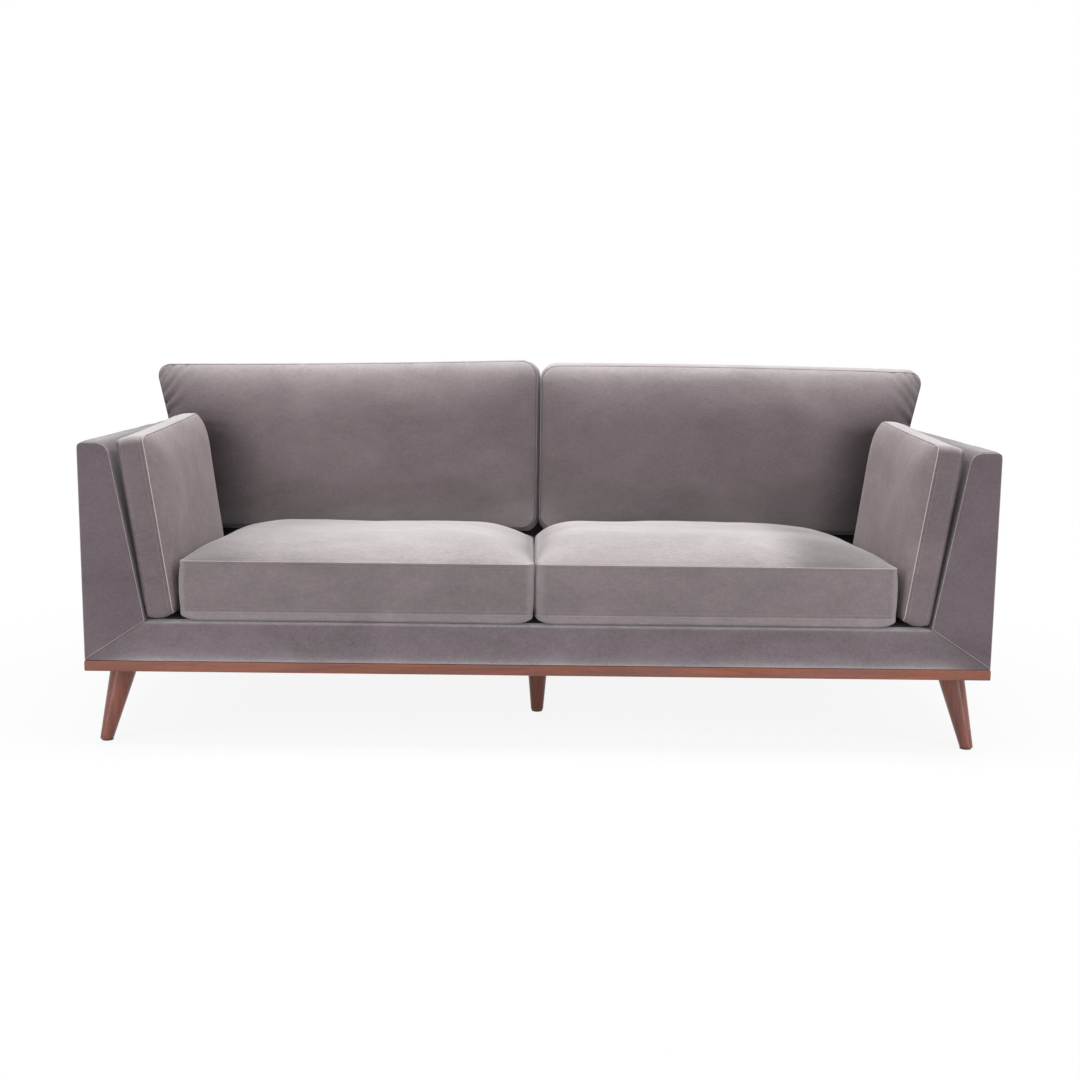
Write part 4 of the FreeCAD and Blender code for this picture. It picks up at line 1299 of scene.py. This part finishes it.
def upholstered(name, nodes, directions, corners, rear_corners, low, high, radii, edges, seed,
                finish=frame_velvet):
    """Makes one padded piece of the frame: facings whose edges turn over in a quarter of an ellipse, and a
    strip between them. A slight crown and slow waves make both uneven."""
    form = Boxed(corners, radii, [0, 0, 0, 0], low, high, padding_step, rear_corners)
    s, t, w = form.shares
    face, back, strip, out = form.lay(s, t, w)
    distances = form.from_sides(s, t)
    soft = crown_over(distances, [(panel_edge, padding_power)] * 4)
    turn = np.max([edge * (1 - rise(d, edge, 2, 0.5)) for d, edge in zip(distances, edges)], 0)
    u, v = face[..., 0], face[..., 1]
    face_waves, back_waves = (panel_uneven * slow_waves(u, v, panel_wave, seed + k) * soft for k in (0, 1))
    face[..., 2] += padding_crown * soft + face_waves - turn
    back[..., 2] -= padding_crown * soft + back_waves - turn
    height = (high - low) * w
    strip[..., 2] = rim(back)[:, 2:] * (1 - w) + rim(face)[:, 2:] * w
    run = run_round(rim(face)[:, :2])
    bulge = padding_crown + strip_uneven * slow_waves(run, height[None], strip_wave, seed + 2)
    for distance in (height, height[::-1]):
        bulge = bulge * rise(distance, strip_edge, padding_power)
    strip[..., :2] += out[:, None] * bulge[..., None]
    strip[:, 0], strip[:, -1] = rim(back), rim(face)
    face, back, strip = (grid @ np.asarray(directions, float) for grid in (face, back, strip))
    piece = new_object(name, *joined(face, back, strip), finish)
    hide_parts(*nodes)
    dress([piece], "sofa_frame")
    print(name, len(piece.data.polygons), "faces")
    return face


# %% Arms
facing_directions = [(1, 0, 0), (0, 0, 1), (0, -1, 0)]
arm_nodes = ("_arm_front_facing", "_arm_rear_facing", "_arm_inside_panel", "_arm_outside_panel")
arm_edges = [0.001, 0.005, 0.006, 0.005]
# How far the top of each front facing leans out past the frame, at its outer and at its inner corner.
arm_leans = {"left": (0.003, 0.004), "right": (0.0, 0.0)}
facing_seam_lift = 0.0002

for side, sign in sides.items():
    outer_lean, inner_lean = arm_leans[side]
    facing = [(arm_inside(fascia_top), fascia_top), (half_width, plinth_top),
              (half_width + outer_lean, arm_top), (arm_inside(arm_top) + inner_lean, arm_top)]
    rear_facing = [(arm_inside(plinth_top), plinth_top), (half_width, plinth_top), (half_width, arm_top),
                   (arm_inside(arm_top), arm_top)]
    face = upholstered(
        side + "_arm_upholstery", [side + end for end in arm_nodes], facing_directions,
        corners=outline(sign, facing), rear_corners=outline(sign, rear_facing), low=-rear, high=-front,
        radii=by_corner(sign, [0.003, 0.003, 0.014, 0.028]), edges=arm_edges, seed=141 + 10 * sign)
    line = rim(face[2:-2, 2:-2])
    outward = np.broadcast_to(np.asarray(facing_directions[2], float), line.shape)
    tube = bead(line + outward * facing_seam_lift, outward, bead_radius)
    dress([new_object(side + "_arm_upholstery_seam", *tube, seam_velvet)], "sofa_frame")

# %% Fascia
fascia_end_fade, fascia_end_shade = 0.16, 0.22
fascia_foot_light, fascia_foot_light_reach, foot_edge_reach = 0.2, 0.03, 0.0075
fascia_back = span(["front_fascia"], (0, 1, 0))[1]
fascia_outline = [(-half_width, plinth_top), (half_width, plinth_top), (arm_inside(fascia_top), fascia_top),
                  (-arm_inside(fascia_top), fascia_top)]
upholstered("front_fascia_cover", ["front_fascia"], facing_directions, corners=fascia_outline,
            rear_corners=None, low=-fascia_back, high=-front, radii=[0.003] * 4,
            edges=[0.004, 0.001, 0.014, 0.001], seed=171, finish=fascia_velvet)
fascia = bpy.data.objects["front_fascia_cover"]
places = np.zeros(len(fascia.data.vertices) * 3)
fascia.data.vertices.foreach_get("co", places)
# Painted light along the fascia's foot by the plinth, which fades out towards its ends, and the fascia is
# darker towards its ends.
from_end = smooth_step((half_width - np.abs(places[0::3])) / fascia_end_fade)
from_plinth = places[2::3] - plinth_top
fascia_foot_lit = fascia_foot_light * np.exp(-from_plinth / fascia_foot_light_reach) + np.exp(-from_plinth / foot_edge_reach)
marked(fascia, "painted_light", np.clip(fascia_foot_lit, 0, 1) * from_end)
marked(fascia, "pressed", fascia_end_shade * (1 - from_end))

# %% Back
back_foot = span(["back_inside_panel"], (0, cos(back_recline), -sin(back_recline)))[0] / cos(back_recline)
back_low_y, back_top_y = (back_foot + height * tan(back_recline) for height in (plinth_top, back_top))
back_outline = [(back_low_y, plinth_top), (rear, plinth_top), (rear, back_top), (back_top_y, back_top)]
back_half_width = arm_inside(back_top)
upholstered("back_upholstery", ["back_inside_panel", "back_end_panels", "back_outside_panel"],
            [(0, 1, 0), (0, 0, 1), (1, 0, 0)], corners=back_outline, rear_corners=None,
            low=-back_half_width, high=back_half_width, radii=[0.003, 0.003, 0.016, 0.016],
            edges=[0.004] * 4, seed=191)

# %% [markdown]
# The legs are turned tapers. The four at the corners splay outwards, and the one in the middle stands
# upright. A cone would be cut square to its own axis, but a splayed leg is cut level at the plinth and at
# the floor. So a taper is a row of level circles on a straight line, which shrink evenly to the foot, where
# the edge is rounded a little over the glide.

# %% Legs
glide_top = span(["foot_glides"], (0, 0, 1))[1]
leg_top_radius, leg_foot_radius, centre_top_radius = 0.0322, 0.0155, 0.030
leg_shares = np.array([0.0, 0.004, 0.012, 0.03, 0.25, 0.5, 0.75, 0.98, 1.0])
leg_ease = np.array([0.9, 0.96, 0.99, 1.0, 1.0, 1.0, 1.0, 1.0, 1.0])
leg_turn = np.linspace(0, 2 * pi, 72, endpoint=False)
leg_edge_angle = radians(40)


def turned_leg(name, top, foot, top_radius, wood):
    """A tapered leg: level circles on the line from foot to top, whose radius grows evenly."""
    radius = (leg_foot_radius + (top_radius - leg_foot_radius) * leg_shares) * leg_ease
    centre = np.asarray(foot) + (np.asarray(top) - np.asarray(foot)) * leg_shares[:, None]
    height = glide_top + (plinth_bottom - glide_top) * leg_shares
    ring = np.stack([np.cos(leg_turn), np.sin(leg_turn)], 1)
    flat = centre[:, None] + radius[:, None, None] * ring[None]
    points = np.concatenate([flat, np.broadcast_to(height[:, None, None], flat.shape[:2] + (1,))], 2)
    index = np.arange(points.shape[0] * points.shape[1]).reshape(points.shape[:2])
    wrapped = np.concatenate([index, index[:, :1]], 1)
    faces = quads(wrapped)[:, ::-1].tolist() + [index[0, ::-1].tolist(), index[-1].tolist()]
    piece = new_object(name, points.reshape(-1, 3), faces, wood)
    piece.data.set_sharp_from_angle(angle=leg_edge_angle)
    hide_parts("legs")
    dress([piece], "sofa_frame")


leg_inset, leg_splay, centre_inset = np.array([0.072, 0.082]), np.array([0.038, 0.035]), 0.358
leg_top = np.array([half_width, rear]) - leg_inset
leg_foot = leg_top + leg_splay
centre_leg = (0, front + centre_inset)
for side, sign in sides.items():
    for end, depth in (("front", -1), ("rear", 1)):
        quarter = np.array([sign, depth])
        turned_leg(f"leg_{end}_{side}", quarter * leg_top, quarter * leg_foot, leg_top_radius,
                   leg_woods["corner"])
turned_leg("leg_centre", centre_leg, centre_leg, centre_top_radius, leg_woods["centre"])
print("five legs,", round(float(plinth_bottom - glide_top), 3), "m long")

# %% [markdown]
# The boards, webbing, bolts and glides keep the frame's own shapes, because they are hidden or as plain as
# the real ones, and only get their finish. The rails of the plinth show, and each has its grain along its
# length.

# %% Finishes of the frame's own nodes
dark_tone_share = 0.75


def plain(name, colour, **values):
    """Material for hidden boards, cloth and fixings, on the stained grain group with near tones."""
    return stained(name, tuple(c * dark_tone_share for c in colour), colour, stretch=(9, 9, 9), bump=0.1,
                   bump_distance=0.0004, **values)


by_slot = {
    "frame_timber": plain("frame_timber", (0.6, 0.44, 0.27)),
    "deck_felt": plain("deck_felt", (0.05, 0.05, 0.055), Sheen_Weight=0.2),
    "webbing": plain("webbing", (0.1, 0.1, 0.1)),
    "steel_fixings": plain("steel", (0.5, 0.5, 0.5), Metallic=1.0),
    "foot_glides": plain("glide_plastic", (0.03, 0.03, 0.03)),
    "cushion_foam": plain("foam", (0.8, 0.76, 0.62)),
    "velvet": velvet, "walnut": walnuts["x"],
}
for part in frame["record"]["subparts"]:
    across = part["node"] in ("plinth_left_rail", "plinth_right_rail", "plinth_cross_rail")
    holder = frame["nodes"][part["node"]]
    holder.data.materials.clear()
    holder.data.materials.append(walnuts["y"] if across else by_slot[part["material_slot"]])

# %% [markdown]
# The dust cover under the seat is stapled to the frame, a staple every few centimetres. A staple is bent
# wire, but its legs are in the wood and only the flat crown shows, so each is a small block just under the
# cloth, near its edge.

# %% Staples of the dust cover
staple_inset, staple_step, staple_size = 0.012, 0.036, (0.01, 0.0012, 0.0008)
row_inset, staple_drop = 0.03, 0.0003
cover_low, cover_high = (np.array(v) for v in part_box("dust_cover"))
staples = []
for direction, across in ((0, 1), (1, 0)):
    for edge in (cover_low[across] + staple_inset, cover_high[across] - staple_inset):
        places = np.arange(cover_low[direction] + row_inset, cover_high[direction] - row_inset, staple_step)
        centres = np.zeros((len(places), 3))
        centres[:, direction], centres[:, across], centres[:, 2] = places, edge, cover_low[2] - staple_drop
        staples.append(blocks(centres, np.eye(3)[direction], np.eye(3)[across], (0, 0, 1), staple_size))
row = new_object("dust_cover_staples", *merged(staples), by_slot["steel_fixings"])
dress([row], "sofa_frame")
print("staples", len(row.data.polygons) // 6)

# %% [markdown]
# The sofa stands on white paper. Lamps strong enough to make paper white would bleach the velvet. So for the
# camera, and for what is seen in gloss, the paper and the world are plain white. Near the sofa a tenth of
# the paper's own shade is kept, so that it shows a faint shadow. For all other light the paper is a pale
# grey and the world is dim.

# %% Floor
scene = bpy.context.scene
floor_reach = 30
white_start, white_all = 1.0, 2.2


def straight_seen(tree):
    """Output that is one for camera rays and for their reflections and rays through clear things."""
    total = node(tree, "LightPath", output="Is Camera Ray")
    paths = total.node.outputs
    for kind in ("Is Glossy Ray", "Is Transmission Ray"):
        total = maths(tree, "MAXIMUM", total, paths[kind])
    return total


floor_corners = floor_reach * np.array([(-1, -1, 0), (1, -1, 0), (1, 1, 0), (-1, 1, 0)])
floor = new_object("floor", floor_corners, [(0, 1, 2, 3)], None)
floor_paper = bpy.data.materials.new("floor_paper")
floor_paper.use_nodes = True
tree = floor_paper.node_tree
paper = tree.nodes["Principled BSDF"]
paper.inputs["Base Color"].default_value = (0.8, 0.8, 0.8, 1)
paper.inputs["Roughness"].default_value = 0.9
paper.inputs["Specular IOR Level"].default_value = 0.0
away = node(tree, "VectorMath", {0: node(tree, "TexCoord", output="Object")}, "Value", operation="LENGTH")
white_feeds = {"Value": away, "From Min": white_start, "From Max": white_all, "To Min": 0.9, "To Max": 1.0}
whiteness = node(tree, "MapRange", white_feeds, interpolation_type="SMOOTHSTEP")
glow = node(tree, "Emission", {"Color": (1, 1, 1, 1), "Strength": 1.0})
seen_white = maths(tree, "MULTIPLY", whiteness, straight_seen(tree))
mixed_paper = node(tree, "MixShader", {0: seen_white, 1: paper.outputs[0], 2: glow})
tree.links.new(mixed_paper, tree.nodes["Material Output"].inputs["Surface"])
floor.data.materials.append(floor_paper)
print("floor of", len(tree.nodes), "nodes")

# %% World
sky_strength = 0.12
world = bpy.data.worlds.new("studio")
scene.world = world
world.use_nodes = True
tree = world.node_tree
soft_sky = tree.nodes["Background"]
soft_sky.inputs["Color"].default_value = (1, 1, 1, 1)
soft_sky.inputs["Strength"].default_value = sky_strength
white_page = node(tree, "Background", {"Color": (1, 1, 1, 1), "Strength": 1.0})
chosen = node(tree, "MixShader", {0: straight_seen(tree), 1: soft_sky.outputs[0], 2: white_page})
tree.links.new(chosen, tree.nodes["World Output"].inputs["Surface"])
print("world of", len(tree.nodes), "nodes")

# %% [markdown]
# The light is that of a photographer's studio: a broad box overhead, one on each side and one behind the
# camera, and two low ones near the floor, which give the legs their long highlights. Small bare lamps would
# draw hard shadows between the cushions, which the photograph doesn't have.

# %% Lamps
# Each lamp's place, the point that it faces, its width and depth in metres, and its power in watts.
lamps = {
    "overhead": ((0.0, -0.05, 2.6), (0, 0, 0.3), (3.4, 1.4), 96),
    "left_box": ((-3.0, -2.2, 1.9), (0, 0, 0.4), (1.6, 1.6), 50),
    "right_box": ((3.0, -2.2, 1.9), (0, 0, 0.4), (1.6, 1.6), 50),
    "front_box": ((0.0, -4.6, 1.5), (0, 0, 0.5), (3.6, 1.8), 32),
    "left_strip": ((-3.0, -2.5, 0.45), (-0.9, -0.35, 0.1), (0.75, 0.9), 12),
    "right_strip": ((3.0, -2.5, 0.45), (0.9, -0.35, 0.1), (0.75, 0.9), 12),
}
for name, (place, target, size, power) in lamps.items():
    lamp = bpy.data.lights.new(name, "AREA")
    lamp.shape = "RECTANGLE"
    lamp.size, lamp.size_y = size
    lamp.energy = power
    holder = bpy.data.objects.new(name, lamp)
    scene.collection.objects.link(holder)
    holder.location = place
    holder.rotation_euler = (Vector(target) - Vector(place)).to_track_quat("-Z", "Y").to_euler()
print("lamps", len(lamps))

# %% [markdown]
# The camera stands where the photographer's stood. Its place and its three turns were worked out from the
# straight edges of the sofa, seen through a lens of 50 mm.

# %% Camera
camera_place = (-0.0218, -3.8427, 0.9764)
camera_pitch, camera_yaw, camera_roll = radians(8.089), radians(0.368), radians(0.709)
camera_data = bpy.data.cameras.new("camera")
camera_data.lens = 50
camera_data.sensor_width = 36
camera = bpy.data.objects.new("camera", camera_data)
scene.collection.objects.link(camera)
scene.camera = camera


def camera_matrix():
    """Columns right, up and back: looking along the yaw and down by the pitch, then rolled."""
    level_share = cos(camera_pitch)
    forward = np.array([sin(camera_yaw) * level_share, cos(camera_yaw) * level_share, -sin(camera_pitch)])
    level = np.array([cos(camera_yaw), -sin(camera_yaw), 0.0])
    up = np.cross(level, forward)
    right = cos(camera_roll) * level + sin(camera_roll) * up
    top = -sin(camera_roll) * level + cos(camera_roll) * up
    matrix = np.eye(4)
    matrix[:3, 0], matrix[:3, 1], matrix[:3, 2], matrix[:3, 3] = right, top, -forward, camera_place
    return matrix


camera.matrix_world = Matrix(camera_matrix().tolist())
scene.view_settings.view_transform = "Standard"
print("camera at", camera_place)
